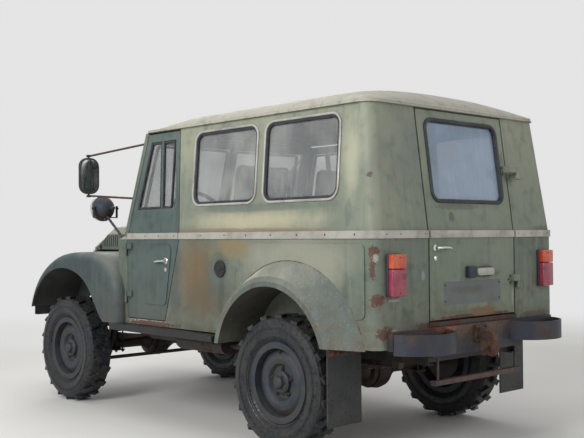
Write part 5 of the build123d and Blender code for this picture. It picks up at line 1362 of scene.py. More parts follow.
@dataclass
class WindowTrims(Assembly):
    """Pale pressed frames and dark rubber seals round every window."""

    glass_depth: float = 0.0118
    side_openings: tuple[Box, ...] = ((-0.213, -0.792, 1.378, 1.818), (-0.865, -1.447, 1.378, 1.822))
    back_opening: Box = (0.322, -0.322, 1.362, 1.808)
    side_trim: Ring = Ring(0.0115, 0.0735, 0.0135, 0.0095, 0.0)
    side_seal: Ring = Ring(0.0, 0.062, 0.017, 0.0135, -0.0118)
    back_lip: Ring = Ring(0.008, 0.063, 0.019, 0.009, 0.0)
    back_seal: Ring = Ring(0.0, 0.055, 0.015, 0.0135, -0.0118)
    door_panes: tuple[tuple[tuple[float, float], ...], ...] = (
        ((0.1315, 1.365), (0.1605, 1.797), (0.2765, 1.797), (0.3965, 1.365)),
        ((0.0145, 1.365), (0.0145, 1.797), (0.1455, 1.797), (0.1165, 1.365)),
    )
    screen_pane: tuple[tuple[float, float], ...] = ((0.031, 1.36), (0.676, 1.36), (0.643, 1.798), (0.031, 1.798))

    def _ring(
        self,
        shaper: Shaper,
        at: Callable[[float, float, float], Vector],
        opening: Box,
        ring: Ring,
        outward: Vector,
    ) -> None:
        """Adds one rounded ring on a wall.

        Args:
            shaper: mesh under work.
            at: gives the wall's point from an along-value, a height and a distance out.
            opening: first and last along-value and lowest and highest height of the opening.
            ring: sizes of the ring.
            outward: direction of its thickness.
        """
        first, last, low, high = opening
        line = quad(first + ring.grow, last - ring.grow, low - ring.grow, high + ring.grow)
        shaper.rim([at(a, z, ring.depth) for a, z in line], ring.corner, ring.width, ring.rise, outward)

    def _sides(self) -> None:
        """Makes the trims and seals of the four side panes."""
        for side in Side:
            trims, seals = Shaper(), Shaper()
            at, outward = partial(side_point, side), side_normal(side, PANE_Z)
            for opening in self.side_openings:
                self._ring(trims, at, opening, self.side_trim, outward)
                self._ring(seals, at, opening, self.side_seal, outward)
            self.finish(trims, f"window_trims_{side.label}", "trim")
            self.finish(seals, f"window_seals_{side.label}", "seal")

    def _back(self) -> None:
        """Makes the rubber seal of the rear door's pane."""
        shaper = Shaper()
        for ring in (self.back_lip, self.back_seal):
            self._ring(shaper, back_point, self.back_opening, ring, back_normal(PANE_Z))
        self.finish(shaper, "back_window_seal", "seal", "back_door")

    def _doors(self) -> None:
        """Makes the seals of the doors' panes on both sides of the quarter bar."""
        for side in Side:
            shaper = Shaper()
            for line in self.door_panes:
                points = [side_point(side, x, z, -self.glass_depth) for x, z in line]
                shaper.rim(points, 0.016, 0.013, 0.0125, side_normal(side, PANE_Z), 0.002)
            self.finish(shaper, f"door_seals_{side.label}", "seal", side.door)

    def _screen(self) -> None:
        """Makes the seals of the windscreen's two panes."""
        shaper = Shaper()
        for side in Side:
            points = [screen_point(side.value * y, z, -self.glass_depth) for y, z in self.screen_pane]
            shaper.rim(points, 0.03, 0.016, 0.016, SCREEN_NORMAL)
        self.finish(shaper, "windscreen_seals", "seal")

    def build(self) -> None:
        """Makes every trim and seal."""
        self._sides()
        self._back()
        self._doors()
        self._screen()


@dataclass
class BeltScrews(Assembly):
    """Domed screws along the pale belt rail."""

    z: float = 1.188
    proud: float = 0.0083
    radius: float = 0.0055
    rise: float = 0.003
    body_side: tuple[float, ...] = (-0.311, -0.542, -0.737, -0.95, -1.163, -1.378, -1.589)
    door_side: tuple[float, ...] = (0.43, 0.278, 0.128, -0.04)
    body_back: tuple[float, ...] = (0.727, 0.62, 0.424, -0.424, -0.558, -0.727)
    door_back: tuple[float, ...] = (0.358, 0.321, 0.092, -0.033, -0.129, -0.365)

    def build(self) -> None:
        """Makes the screws of the body and of each door."""
        body = Shaper()
        for side in Side:
            door, normal = Shaper(), side_normal(side, 1.0)
            for shaper, places in ((body, self.body_side), (door, self.door_side)):
                for x in places:
                    shaper.screw(side_point(side, x, self.z, self.proud), normal, self.radius, self.rise)
            self.finish(door, f"door_belt_screws_{side.label}", "bolt", side.door)
        back = Shaper()
        for shaper, places in ((body, self.body_back), (back, self.door_back)):
            for y in places:
                shaper.screw(back_point(y, self.z, self.proud), BACKWARD, self.radius, self.rise)
        self.finish(body, "belt_screws", "bolt")
        self.finish(back, "back_door_belt_screws", "bolt", "back_door")


@dataclass
class RoofEdge(Assembly):
    """Rolled drip rail round the roof."""

    half: float = 0.7645
    rear_x: float = -1.6535
    front_x: float = 0.37
    z: float = 1.8655

    def build(self) -> None:
        """Makes the drip rail."""
        shaper = Shaper()
        line = [Vector((x, y, self.z)) for y, x in quad(self.half, -self.half, self.front_x, self.rear_x)]
        shaper.rim(line, 0.092, 0.014, 0.009, UPWARD)
        self.finish(shaper, "drip_rail", "roof")


@dataclass
class FuelFiller(Assembly):
    """Dark cap deep in the filler dish of each side wall."""

    place: Triple = (-0.478, 0.787, 0.992)
    radius: float = 0.05

    def build(self) -> None:
        """Makes each cap with its rolled edge, grip and key plug."""
        rolled = [(0.0, -0.002), (0.001, 0.006), (-0.003, 0.011), (-0.009, 0.012), (-0.013, 0.008)]
        profile = [(self.radius + wide, along) for wide, along in rolled]
        profile += [(0.016, 0.009), (0.0145, 0.0135), (0.0, 0.0145)]
        grip = AHEAD * 0.034
        for side in Side:
            place = side.at(*self.place)
            cap, plug = Shaper(), Shaper()
            cap.turned(profile, place, side.out, 40)
            lifted = place + side.out * 0.0098
            cap.bar(lifted - grip, lifted + grip, 0.0028, 0.0045)
            self.finish(cap, f"filler_cap_{side.label}", "cap")
            plug.turned([(0.006, 0.0), (0.006, 0.0155), (0.0, 0.0158)], place, side.out, 16)
            self.finish(plug, f"filler_plug_{side.label}", "bolt")


@dataclass
class TailLamps(Assembly):
    """Two tall rear lamps: dark backing, amber upper and red lower lens, and a round reflector."""

    y: float = 0.675
    low: float = 0.874
    high: float = 1.092
    split: float = 1.015
    half: float = 0.056
    wall: float = REAR_FACE
    depth: float = 0.0485

    def build(self) -> None:
        """Makes both lamps."""
        lenses = (
            ("amber", self.split + 0.001, self.high - 0.003),
            ("red", self.low + 0.003, self.split - 0.001),
        )
        face = self.wall - self.depth
        for side in Side:
            middle = side.value * self.y
            low_y, high_y = middle - self.half, middle + self.half
            back = Shaper()
            back.block((self.wall - 0.016, low_y, self.low), (self.wall, high_y, self.high), 0.006, 3)
            made = self.finish(back, f"lamp_back_{side.label}", "lamp_body")
            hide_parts("tail_lamps")
            for colour, low, high in lenses:
                lens = Shaper()
                lens.block((face, low_y + 0.003, low), (self.wall - 0.014, high_y - 0.003, high), 0.007, 3)
                self.finish(lens, f"{colour}_lens_{side.label}", colour)
            spot, screws = Shaper(), Shaper()
            profile = [(0.017, -0.001), (0.017, 0.0008), (0.013, 0.0014), (0.0, 0.0014)]
            spot.turned(profile, side.at(face, self.y - 0.034, 0.977), BACKWARD, 24)
            self.finish(spot, f"lamp_spot_{side.label}", "grimy_lens")
            for z in (self.low + 0.02, self.high - 0.02):
                screws.screw(Vector((face, middle, z)), BACKWARD, 0.0045, 0.0012)
            self.finish(screws, f"lamp_screws_{side.label}", "bolt")


@dataclass
class Headlamps(Assembly):
    """Bright rings and fluted lenses on the two front lamps."""

    place: Triple = (1.5923, 0.336, 0.945)
    radius: float = 0.0745
    rise: float = 0.0195
    steps: int = 9

    def build(self) -> None:
        """Makes the ring and the lens of both lamps."""
        section = [(-0.001, 0.004), (0.004, 0.0085), (0.009, 0.006), (0.0115, -0.002), (0.0115, -0.016)]
        bezel = [(self.radius + wide, along) for wide, along in section + [(0.006, -0.017)]]
        bowl = (self.radius**2 + self.rise**2) / (2 * self.rise)
        radii = [self.radius * (1 - step / self.steps) for step in range(self.steps)]
        dome = [(radius, math.sqrt(bowl**2 - radius**2) - bowl + self.rise + 0.001) for radius in radii]
        for side in Side:
            centre = side.at(*self.place)
            ring, lens = Shaper(), Shaper()
            ring.turned(bezel, centre, AHEAD, 48)
            self.finish(ring, f"headlamp_ring_{side.label}", "chrome")
            lens.turned(dome + [(0.0, self.rise + 0.001)], centre, AHEAD, 48)
            self.finish(lens, f"headlamp_lens_{side.label}", "lamp_glass")


@dataclass
class Mirrors(Assembly):
    """Glass, rubber rim and clamps of the two outside mirrors."""

    face: float = 0.7328
    y: float = 0.948
    z: float = 1.598
    half_width: float = 0.066
    half_height: float = 0.114
    overhang: float = 0.0078

    def _corners(self, side: Side, x: float, grow: float) -> list[Vector]:
        """Corners of the mirror's outline at x, grown on every side."""
        wide, tall = self.half_width + grow, self.half_height + grow
        middle = side.value * self.y
        return [Vector((x, y, z)) for y, z in quad(middle + wide, middle - wide, self.z - tall, self.z + tall)]

    def build(self) -> None:
        """Makes the glass and its rim on each side."""
        for side in Side:
            middle = side.value * self.y
            glass, rim = Shaper(), Shaper()
            glass.plate(self._corners(side, self.face, 0.0), 0.052, 0.0025, BACKWARD, 0.0012)
            self.finish(glass, f"mirror_glass_{side.label}", "mirror")
            rim.rim(self._corners(side, self.face + 0.012, self.overhang), 0.0615, 0.0115, 0.0165, BACKWARD)
            for sign in (1.0, -1.0):
                z = self.z + sign * (self.half_height + 0.022)
                low = (self.face - 0.002, middle - 0.012, z - 0.008)
                rim.block(low, (self.face + 0.024, middle + 0.012, z + 0.008), 0.003)
            self.finish(rim, f"mirror_rim_{side.label}", "plastic")


@dataclass
class SearchLamp(Assembly):
    """Ring, lens, yoke and grip of the search lamp beside the windscreen."""

    x: float = 0.915
    y: float = 0.715
    z: float = 1.387
    ring: Profile = (
        (0.076, 0.004),
        (0.083, 0.009),
        (0.0895, 0.006),
        (0.0915, -0.004),
        (0.0915, -0.018),
        (0.088, -0.02),
    )
    lens: Profile = ((0.078, 0.001), (0.072, 0.0065), (0.058, 0.0125), (0.036, 0.0175), (0.015, 0.0195), (0.0, 0.02))
    socket: Profile = ((0.0, -0.01), (0.014, -0.01), (0.016, 0.0), (0.013, 0.022))
    grip: Profile = ((0.006, 0.0), (0.006, 0.02), (0.012, 0.026), (0.0135, 0.05), (0.009, 0.062), (0.0, 0.064))

    def build(self) -> None:
        """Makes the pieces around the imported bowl."""
        x, y, z = self.x, self.y, self.z
        for name, finish, profile in (("ring", "chrome", self.ring), ("lens", "lamp_glass", self.lens)):
            shaper = Shaper()
            shaper.turned(profile, (x + 0.05, y, z), AHEAD, 48)
            self.finish(shaper, f"search_{name}", finish)
        yoke = Shaper()
        for sign in (1.0, -1.0):
            arm = y + sign * 0.0935
            yoke.block((x - 0.012, arm - 0.003, z - 0.062), (x + 0.012, arm + 0.003, z + 0.018), 0.0025)
            yoke.nut(Vector((x, y + sign * 0.0965, z)), LEFTWARD * sign, 0.011, 0.007)
        yoke.block((x - 0.012, y - 0.0955, z - 0.068), (x + 0.012, y + 0.0955, z - 0.061), 0.0025)
        yoke.turned(self.socket, (x, y, z - 0.068), DOWNWARD, 20)
        yoke.turned(self.grip, (x - 0.056, y, z), BACKWARD, 20)
        self.finish(yoke, "search_yoke", "bumper")


@dataclass
class WheelDetails(Assembly):
    """Nuts, hub cap, valve and sidewall ridges of every wheel."""

    centre_y: float = 0.72
    cap: Profile = ((0.033, -0.004), (0.0335, 0.004), (0.0315, 0.014), (0.026, 0.02), (0.015, 0.0225), (0.0, 0.0232))
    valve: Profile = ((0.0055, 0.0), (0.0055, 0.02), (0.0042, 0.022), (0.0042, 0.036), (0.0, 0.037))
    ridges: Profile = ((0.2415, 0.0755), (0.2515, 0.0812), (0.2985, 0.0915), (0.3065, 0.0905))
    ridge: Profile = ((-0.0028, -0.002), (-0.0012, 0.0022), (0.0012, 0.0022), (0.0028, -0.002))

    def build(self) -> None:
        """Makes the details of all four wheels."""
        for end, x in AXLES.items():
            for side in Side:
                self._wheel(f"{end}_{side.label}", side.at(x, self.centre_y, HUB_Z), side.out)

    def _wheel(self, place: str, centre: Vector, out: Vector) -> None:
        """Makes the details of one wheel.

        Args:
            place: end and side of the wheel.
            centre: middle of the wheel.
            out: its outward direction.
        """
        body = f"road_wheel_{place}"
        nuts, cap, valve, ridges = Shaper(), Shaper(), Shaper(), Shaper()
        for spoke in spokes(5, 0.0775, 0.3):
            nuts.nut(centre + spoke + out * 0.0242, out, 0.0125, 0.013)
        for spoke in spokes(6, 0.041):
            nuts.nut(centre + spoke + out * 0.0518, out, 0.0055, 0.0045)
        self.finish(nuts, f"wheel_nuts_{place}", "bolt", body)
        cap.turned(self.cap, centre + out * 0.052, out, 32)
        self.finish(cap, f"hub_cap_{place}", "wheel", body)
        valve.turned(self.valve, centre + UPWARD * 0.172 + out * 0.026, out + DOWNWARD * 0.25, 12)
        self.finish(valve, f"valve_{place}", "seal", body)
        for face in (1.0, -1.0):
            for radius, away in self.ridges:
                profile = [(radius + wide, along) for wide, along in self.ridge]
                ridges.turned(profile, centre + out * face * away, out * face, 96)
        self.finish(ridges, f"sidewall_ridges_{place}", "tyre", body)


@dataclass
class Wipers(Assembly):
    """Two wipers that hang from the head of the windscreen frame."""

    pivot_y: float = 0.30
    pivot_z: float = 1.833
    reach: float = 0.27
    blade: float = 0.29
    spindle: Profile = ((0.012, -0.001), (0.012, 0.008), (0.008, 0.014), (0.008, 0.022), (0.0, 0.023))

    def _at(self, side: Side, shift: float, drop: float, out: float) -> Vector:
        """Point outside and below a wiper's pivot, at a distance out from the frame."""
        return screen_point(side.value * (self.pivot_y + shift), self.pivot_z - drop, out)

    def build(self) -> None:
        """Makes the spindles, arms and blades."""
        arms, blades = Shaper(), Shaper()
        half = self.blade / 2
        for side in Side:
            foot = self._at(side, 0.0, 0.0, 0.0)
            arms.turned(self.spindle, foot, SCREEN_NORMAL, 20)
            arms.bar(foot + SCREEN_NORMAL * 0.016, self._at(side, 0.02, self.reach, 0.012), 0.0042, 0.003)
            low, high = self._at(side, -0.02, self.reach + half, 0.007), self._at(side, 0.05, self.reach - half, 0.007)
            blades.bar(low, high, 0.003, 0.0065)
        self.finish(arms, "wiper_arms", "chrome", slot="dark_steel")
        self.finish(blades, "wiper_blades", "seal")


@dataclass
class BonnetDetails(Assembly):
    """Side catches, pull and hinge screws of the bonnet."""

    catch_x: float = 1.43
    catch_z: float = 1.112

    def build(self) -> None:
        """Makes the pieces on the bonnet's sides and top."""
        lid = Ground(self.dresser.nodes["bonnet"])
        catches = Shaper()
        for side in Side:
            face, _ = lid.hit(side.at(self.catch_x, 0.8, self.catch_z), -side.out)
            corners = [face + Vector((x, 0.0, z)) for x, z in quad(0.012, -0.012, -0.018, 0.018)]
            catches.plate(corners, 0.005, 0.006, side.out)
            catches.turned([(0.006, 0.0), (0.006, 0.014), (0.009, 0.016), (0.0, 0.019)], face, side.out, 16)
        top, normal = lid.hit(Vector((1.462, 0.0, 1.6)), DOWNWARD)
        catches.turned([(0.016, -0.002), (0.015, 0.004), (0.008, 0.009), (0.0, 0.0095)], top, normal, 24)
        for side in Side:
            for x in (0.66, 0.69):
                place, out = lid.hit(side.at(x, 0.25, 1.6), DOWNWARD)
                catches.screw(place, out, 0.0065, 0.004)
        self.finish(catches, "bonnet_catches", "bolt", "bonnet_lid")


@dataclass
class RearDoorDetails(Assembly):
    """Belt strip, handle, lock, plate lamp and hinge screws of the rear door."""

    wall: float = REAR_FACE
    door: str = "back_door"
    handle: tuple[float, float] = (0.338, 1.115)
    rose: Profile = ((0.0185, -0.001), (0.0185, 0.004), (0.015, 0.008), (0.011, 0.012), (0.0095, 0.024), (0.0, 0.026))
    lever: tuple[Triple, ...] = (
        (0.022, 0.342, 1.115),
        (0.027, 0.325, 1.1155),
        (0.029, 0.29, 1.1165),
        (0.027, 0.25, 1.115),
        (0.02, 0.225, 1.112),
    )
    hinge_screws: tuple[tuple[float, float], ...] = (
        (-0.345, 0.945),
        (-0.345, 0.905),
        (-0.33, 0.925),
        (-0.345, 1.57),
        (-0.345, 1.53),
    )

    def _flat(self, out: float, box: Box) -> list[Vector]:
        """Corners of a box on the door, at a distance out from its face."""
        return [Vector((self.wall - out, y, z)) for y, z in quad(*box)]

    def build(self) -> None:
        """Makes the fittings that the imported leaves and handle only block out."""
        strip, rose, bracket, oval, screws, key = (Shaper() for _ in range(6))
        strip.plate(self._flat(0.0001, (0.383, -0.383, 1.168, 1.208)), 0.0, 0.0082, BACKWARD, 0.0015)
        made = self.finish(strip, "back_door_belt", "belt", self.door)
        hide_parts("rear_door_fittings")
        centre = Vector((self.wall, *self.handle))
        rose.turned(self.rose, centre, BACKWARD, 28)
        rose.turned([(0.006, 0.0), (0.006, 0.0275), (0.0, 0.028)], centre, BACKWARD, 12)
        self.finish(rose, "back_handle_rose", "chrome", self.door)
        line = [(self.wall - out, y, z) for out, y, z in self.lever]
        self.rod("back_handle_lever", line, 0.0072, "chrome", self.door)
        bracket.block((self.wall - 0.03, 0.008, 0.948), (self.wall, 0.077, 1.012), 0.007, 3)
        bracket.block((self.wall - 0.014, -0.153, 0.952), (self.wall, 0.02, 1.006), 0.006, 3)
        self.finish(bracket, "plate_lamp_bracket", "lamp_body", self.door)
        oval.plate(self._flat(0.0135, (0.005, -0.15, 0.958, 1.0)), 0.02, 0.02, BACKWARD, 0.006)
        self.finish(oval, "plate_lamp_cover", "worn_alloy", self.door)
        for y, z in self.hinge_screws:
            screws.screw(back_point(y, z, 0.0005), back_normal(z), 0.0065, 0.004)
        for y, z in ((0.255, 0.828), (-0.235, 0.828), (0.255, 0.915), (-0.235, 0.915)):
            screws.screw(back_point(y, z, 0.0003), BACKWARD, 0.005, 0.003)
        self.finish(screws, "back_door_screws", "bolt", self.door)
        barrel = [(0.0125, -0.0005), (0.012, 0.004), (0.008, 0.006), (0.0, 0.0062)]
        key.turned(barrel, (self.wall, self.handle[0], 1.06), BACKWARD, 24)
        self.finish(key, "back_door_lock", "chrome", self.door)


@dataclass
class SideDoorDetails(Assembly):
    """Belt strips, shaped handles, locks and hinge screws of the two side doors."""

    handle: tuple[float, float] = (0.05, 1.031)
    face: float = 0.8063
    skin: float = 0.8001
    hinge_x: float = 0.465
    hinges: tuple[float, float] = (0.79, 1.105)
    belt: Profile = ((-0.0795, 1.168), (-0.0765, 1.208), (0.493, 1.208), (0.493, 1.168))
    rose: Profile = ((0.021, -0.001), (0.021, 0.003), (0.017, 0.006), (0.012, 0.008), (0.0105, 0.016), (0.0, 0.018))
    lock: Profile = ((0.0135, -0.0005), (0.013, 0.004), (0.008, 0.0065), (0.0, 0.007))
    lever: tuple[Triple, ...] = (
        (-0.004, 0.016, 0.0),
        (0.018, 0.0215, 0.0),
        (0.052, 0.024, -0.002),
        (0.084, 0.022, -0.005),
        (0.103, 0.016, -0.008),
    )

    def build(self) -> None:
        """Makes the details of both doors."""
        x, z = self.handle
        for side in Side:
            strip, rose, screws = Shaper(), Shaper(), Shaper()
            strip.plate([side.at(a, self.skin, b) for a, b in self.belt], 0.0, 0.0082, side.out, 0.0015)
            made = self.finish(strip, f"door_belt_{side.label}", "belt", side.door)
            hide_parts(f"door_fittings_{side.label}")
            centre = side.at(x, self.face, z)
            rose.turned(self.rose, centre, side.out, 28)
            rose.turned(self.lock, centre + DOWNWARD * 0.055, side.out, 20)
            self.finish(rose, f"door_handle_rose_{side.label}", "chrome", side.door)
            line = [(x + a, side.value * (self.face + b), z + c) for a, b, c in self.lever]
            self.rod(f"door_handle_{side.label}", line, 0.0075, "chrome", side.door)
            for hinge in self.hinges:
                for rise in (-0.014, 0.014):
                    screws.screw(side.at(self.hinge_x, 0.8003, hinge + rise), side.out, 0.006, 0.004)
            self.finish(screws, f"door_hinge_screws_{side.label}", "bolt", side.door)


@dataclass
class FrontDetails(Assembly):
    """Bolts of the grille and bumper, and the hooks with their plates on the frame horns."""

    horn_y: float = 0.38
    hook: Profile = ((1.905, 0.706), (1.908, 0.738), (1.888, 0.75), (1.868, 0.742), (1.868, 0.722))

    def build(self) -> None:
        """Makes the front end's small pieces."""
        bolts, plates = Shaper(), Shaper()
        for side in Side:
            for z in (0.68, 0.79, 1.06):
                bolts.nut(side.at(1.5302, 0.438, z), AHEAD, 0.0085, 0.006)
            for y in (0.36, 0.40):
                for z in (0.615, 0.665):
                    bolts.nut(side.at(1.8785, y, z), BACKWARD, 0.009, 0.006)
            y = side.value * self.horn_y
            plates.block((1.86, y - 0.012, 0.696), (1.918, y + 0.012, 0.706), 0.003)
        self.finish(bolts, "front_bolts", "bolt")
        self.finish(plates, "hook_plates", "bumper")
        for side in Side:
            line = [tuple(side.at(x, self.horn_y, z)) for x, z in self.hook]
            self.rod(f"front_hook_{side.label}", line, 0.009, "rusty")


@dataclass
class Undercarriage(Assembly):
    """Spring clamps, casing bolts, shock dampers, tank straps and flap fixings under the car."""

    rail_y: float = 0.38
    clamp_foot: float = 0.3265
    clamp_length: float = 0.152
    clamp_top: float = 0.4715
    bolt_circle: float = 0.086
    damper_y: float = 0.452
    damper_top: float = 0.545
    damper_foot: float = 0.355
    damper_leans: tuple[float, float] = (-0.13, 0.13)
    tank_floor: float = 0.4365
    tank_sides: tuple[float, float] = (-0.7085, -0.4315)
    flap_y: float = 0.7505
    flap_steel: tuple[tuple[float, float], ...] = ((-1.4625, -1.4595), (-1.4495, -1.4465))

    def build(self) -> None:
        """Makes the pieces under the body."""
        self._clamps()
        self._casings()
        self._dampers()
        self._straps()
        self._flap_strips()

    def _clamps(self) -> None:
        """Makes the U-bolts that hold each spring pack on its axle."""
        nuts = Shaper()
        foot, top = self.clamp_foot, self.clamp_top
        rod = [(0.0055, 0.0), (0.0055, self.clamp_length), (0.0, self.clamp_length)]
        for x in AXLES.values():
            for side in Side:
                y = side.value * self.rail_y
                for along in (-0.052, 0.052):
                    for wide in (-0.029, 0.029):
                        place = Vector((x + along, y + wide, foot))
                        nuts.turned(rod, place, UPWARD, 10)
                        nuts.nut(place, DOWNWARD, 0.0105, 0.009)
                nuts.block((x - 0.066, y - 0.042, foot), (x + 0.066, y + 0.042, foot + 0.008), 0.002)
                nuts.block((x - 0.064, y - 0.036, top), (x + 0.064, y + 0.036, top + 0.0075), 0.002)
        self.finish(nuts, "spring_clamps", "axle")

    def _casings(self) -> None:
        """Makes the bolt rings and covers of both drive casings."""
        bolts = Shaper()
        cover = [(0.0, 0.1), (0.076, 0.102), (0.096, 0.098), (0.1, 0.088), (0.1, 0.07)]
        flange = [(0.094, 0.05), (0.108, 0.052), (0.11, 0.064), (0.094, 0.066)]
        for x in AXLES.values():
            centre = Vector((x, 0.0, HUB_Z))
            for spoke in spokes(12, self.bolt_circle):
                bolts.nut(centre + spoke + LEFTWARD * 0.081, LEFTWARD, 0.008, 0.007)
            for profile in (cover, flange):
                bolts.turned(profile, centre, LEFTWARD, 40)
        self.finish(bolts, "casing_bolts", "axle", slot="cast_iron")

    def _dampers(self) -> None:
        """Makes the telescopic dampers between frame and axles."""
        ends = [(0.0, -0.026), (0.013, -0.026), (0.013, 0.02), (0.0, 0.02)]
        for (end, x), lean in zip(AXLES.items(), self.damper_leans):
            for side in Side:
                top = side.at(x + lean, self.damper_y, self.damper_top)
                foot = side.at(x + lean * 0.2, self.damper_y, self.damper_foot)
                length = (foot - top).length
                sleeve = [(0.0, 0.0), (0.026, 0.001), (0.028, 0.008), (0.028, length * 0.52), (0.026, length * 0.54)]
                rod = [(0.0225, length * 0.54), (0.0225, length * 0.93), (0.01, length * 0.97), (0.0, length)]
                damper = Shaper()
                damper.turned(sleeve + rod, top, (foot - top).normalized(), 24)
                for place in (top, foot):
                    damper.turned(ends, place, LEFTWARD, 16)
                    damper.turned([(0.006, -0.026), (0.006, 0.062), (0.0, 0.062)], place, -side.out, 12)
                self.finish(damper, f"damper_{end}_{side.label}", "frame")

    def _straps(self) -> None:
        """Makes the two straps under the fuel tank and the clamps of the exhaust."""
        straps = Shaper()
        (outer, inner), floor, thick, top = self.tank_sides, self.tank_floor, 0.003, 0.611
        for x in (-0.37, -0.05):
            low, high = x - 0.016, x + 0.016
            straps.block((low, outer, floor), (high, inner, floor + thick), 0.001)
            straps.block((low, outer, floor), (high, outer + thick, top), 0.001)
            straps.block((low, inner - thick, floor), (high, inner, top), 0.001)
        straps.turned([(0.0, -0.004), (0.014, -0.004), (0.016, 0.0)], (-0.21, -0.57, 0.4405), UPWARD, 6)
        band = [(0.0222, -0.008), (0.0275, -0.008), (0.0275, 0.008), (0.0222, 0.008)]
        for x in (-0.252, 0.232):
            straps.turned(band, (x, 0.52, 0.5), AHEAD, 28)
        self.finish(straps, "tank_straps", "frame")

    def _flap_strips(self) -> None:
        """Makes the steel strips and bolts that hold the mud flaps."""
        strips = Shaper()
        for side in Side:
            y = side.value * self.flap_y
            for rear, front in self.flap_steel:
                strips.block((rear, y - 0.122, 0.566), (front, y + 0.122, 0.598), 0.001)
            for shift in (-0.09, -0.03, 0.03, 0.09):
                strips.nut(Vector((self.flap_steel[0][0], y + shift, 0.582)), BACKWARD, 0.0075, 0.005)
        self.finish(strips, "flap_strips", "rusty")


@dataclass
class BeamBolts(Assembly):
    """Bolts of the rear beam and of the hook's plate on it."""

    face: float = -1.7596
    plate: float = 0.0098

    def build(self) -> None:
        """Makes the bolt heads on the beam's rear face and on the hook's plate."""
        bolts = Shaper()
        for side in Side:
            for y in (0.335, 0.665):
                for z in (0.612, 0.66):
                    bolts.nut(side.at(self.face, y, z), BACKWARD, 0.0095, 0.007)
        for y in (-0.043, 0.043):
            for z in (0.61, 0.682):
                bolts.nut(Vector((self.face - self.plate, y, z)), BACKWARD, 0.009, 0.0065)
        self.finish(bolts, "beam_bolts", "rusty")


@dataclass
class CabinDetails(Assembly):
    """Instruments, levers, pedals and mats of the cabin."""

    dash: float = 0.4685
    floor: float = 0.6335
    dials: tuple[Triple, ...] = (
        (0.13, 1.235, 0.042),
        (0.03, 1.25, 0.024),
        (-0.03, 1.25, 0.024),
        (0.03, 1.195, 0.024),
        (-0.03, 1.195, 0.024),
    )
    switch: Profile = ((0.0065, 0.0), (0.0065, 0.012), (0.004, 0.016), (0.0, 0.0165))
    boot: Profile = ((0.06, 0.0), (0.056, 0.012), (0.04, 0.022), (0.034, 0.034), (0.022, 0.042), (0.012, 0.056))
    gear: tuple[Triple, ...] = (
        (0.24, 0.0, 0.634),
        (0.235, 0.0, 0.70),
        (0.21, 0.01, 0.86),
        (0.16, 0.02, 0.97),
        (0.15, 0.022, 0.995),
    )

    def build(self) -> None:
        """Makes the cabin's pieces."""
        self._instruments()
        self._levers()
        self._pedals()
        self._mats()

    def _instruments(self) -> None:
        """Makes the dash plate with its dials and switches."""
        panel, rings, faces = Shaper(), Shaper(), Shaper()
        corners = [Vector((self.dash, y, z)) for y, z in quad(0.2, -0.1, 1.16, 1.29)]
        panel.plate(corners, 0.02, 0.006, BACKWARD, 0.002)
        self.finish(panel, "dash_plate", "plastic")
        x = self.dash - 0.006
        for y, z, radius in self.dials:
            bezel = [(radius - 0.003, 0.002), (radius, 0.006), (radius + 0.003, 0.004), (radius + 0.003, -0.001)]
            rings.turned(bezel, (x, y, z), BACKWARD, 28)
            inner = radius - 0.002
            faces.turned([(inner, 0.001), (inner * 0.96, 0.002), (0.0, 0.0024)], (x, y, z), BACKWARD, 28)
        self.finish(rings, "dial_rings", "chrome")
        for y in (-0.06, -0.08):
            faces.turned(self.switch, (x, y, 1.195), BACKWARD, 12)
        self.finish(faces, "dial_faces", "plastic")

    def _levers(self) -> None:
        """Makes the gear lever and the two transfer levers with their knobs and boots."""
        self.rod("gear_lever", self.gear, 0.008, "plastic")
        for index, y in enumerate((-0.06, -0.11)):
            line = [(0.12, y, 0.634), (0.12, y, 0.68), (0.09, y, 0.78), (0.07, y, 0.86)]
            self.rod(f"transfer_lever_{index + 1}", line, 0.0075, "frame", steps=3)
        knobs = Shaper()
        angles = [math.radians(turn) for turn in range(0, 181, 20)]
        for x, y, z, radius in ((0.15, 0.022, 1.0, 0.022), (0.07, -0.06, 0.868, 0.016), (0.07, -0.11, 0.868, 0.016)):
            knobs.turned([(radius * math.sin(t), -radius * math.cos(t)) for t in angles], (x, y, z), UPWARD, 24)
        for x, y in ((0.24, 0.0), (0.12, -0.085)):
            knobs.turned(self.boot, (x, y, self.floor), UPWARD, 28)
        self.finish(knobs, "lever_knobs", "seal")

    def _pedals(self) -> None:
        """Makes the three pedals."""
        pedals = Shaper()
        for y in (0.42, 0.29):
            pedals.bar(Vector((0.5, y, 0.78)), Vector((0.43, y, 0.745)), 0.006, 0.006)
            pedals.block((0.418, y - 0.028, 0.712), (0.43, y + 0.028, 0.778), 0.005, 3)
            pedals.bar(Vector((0.49, y, 0.98)), Vector((0.436, y, 0.76)), 0.006, 0.008)
        pedals.block((0.42, 0.19, 0.66), (0.432, 0.235, 0.8), 0.004, 2)
        self.finish(pedals, "pedals", "frame")

    def _mats(self) -> None:
        """Makes the two ribbed mats."""
        mats = Shaper()
        for side in Side:
            middle = side.value * 0.4
            mats.block((0.16, middle - 0.28, 0.6325), (0.56, middle + 0.28, 0.6405), 0.003)
            for index in range(12):
                y = middle - 0.24 + index * 0.0436
                mats.block((0.18, y - 0.008, 0.6395), (0.54, y + 0.008, 0.6435), 0.0018, 1)
        self.finish(mats, "floor_mats", "seal")


@dataclass(frozen=True)
class PadShape:
    """One stuffed pad: its corners before it swells, how it leans, and the rounding of its top."""

    name: str
    low: Triple
    high: Triple
    lean: float = 0.0
    soften: float = 0.035
    voxel: float = 0.009
    pressure: float = 3.0
    swell: float = 0.02


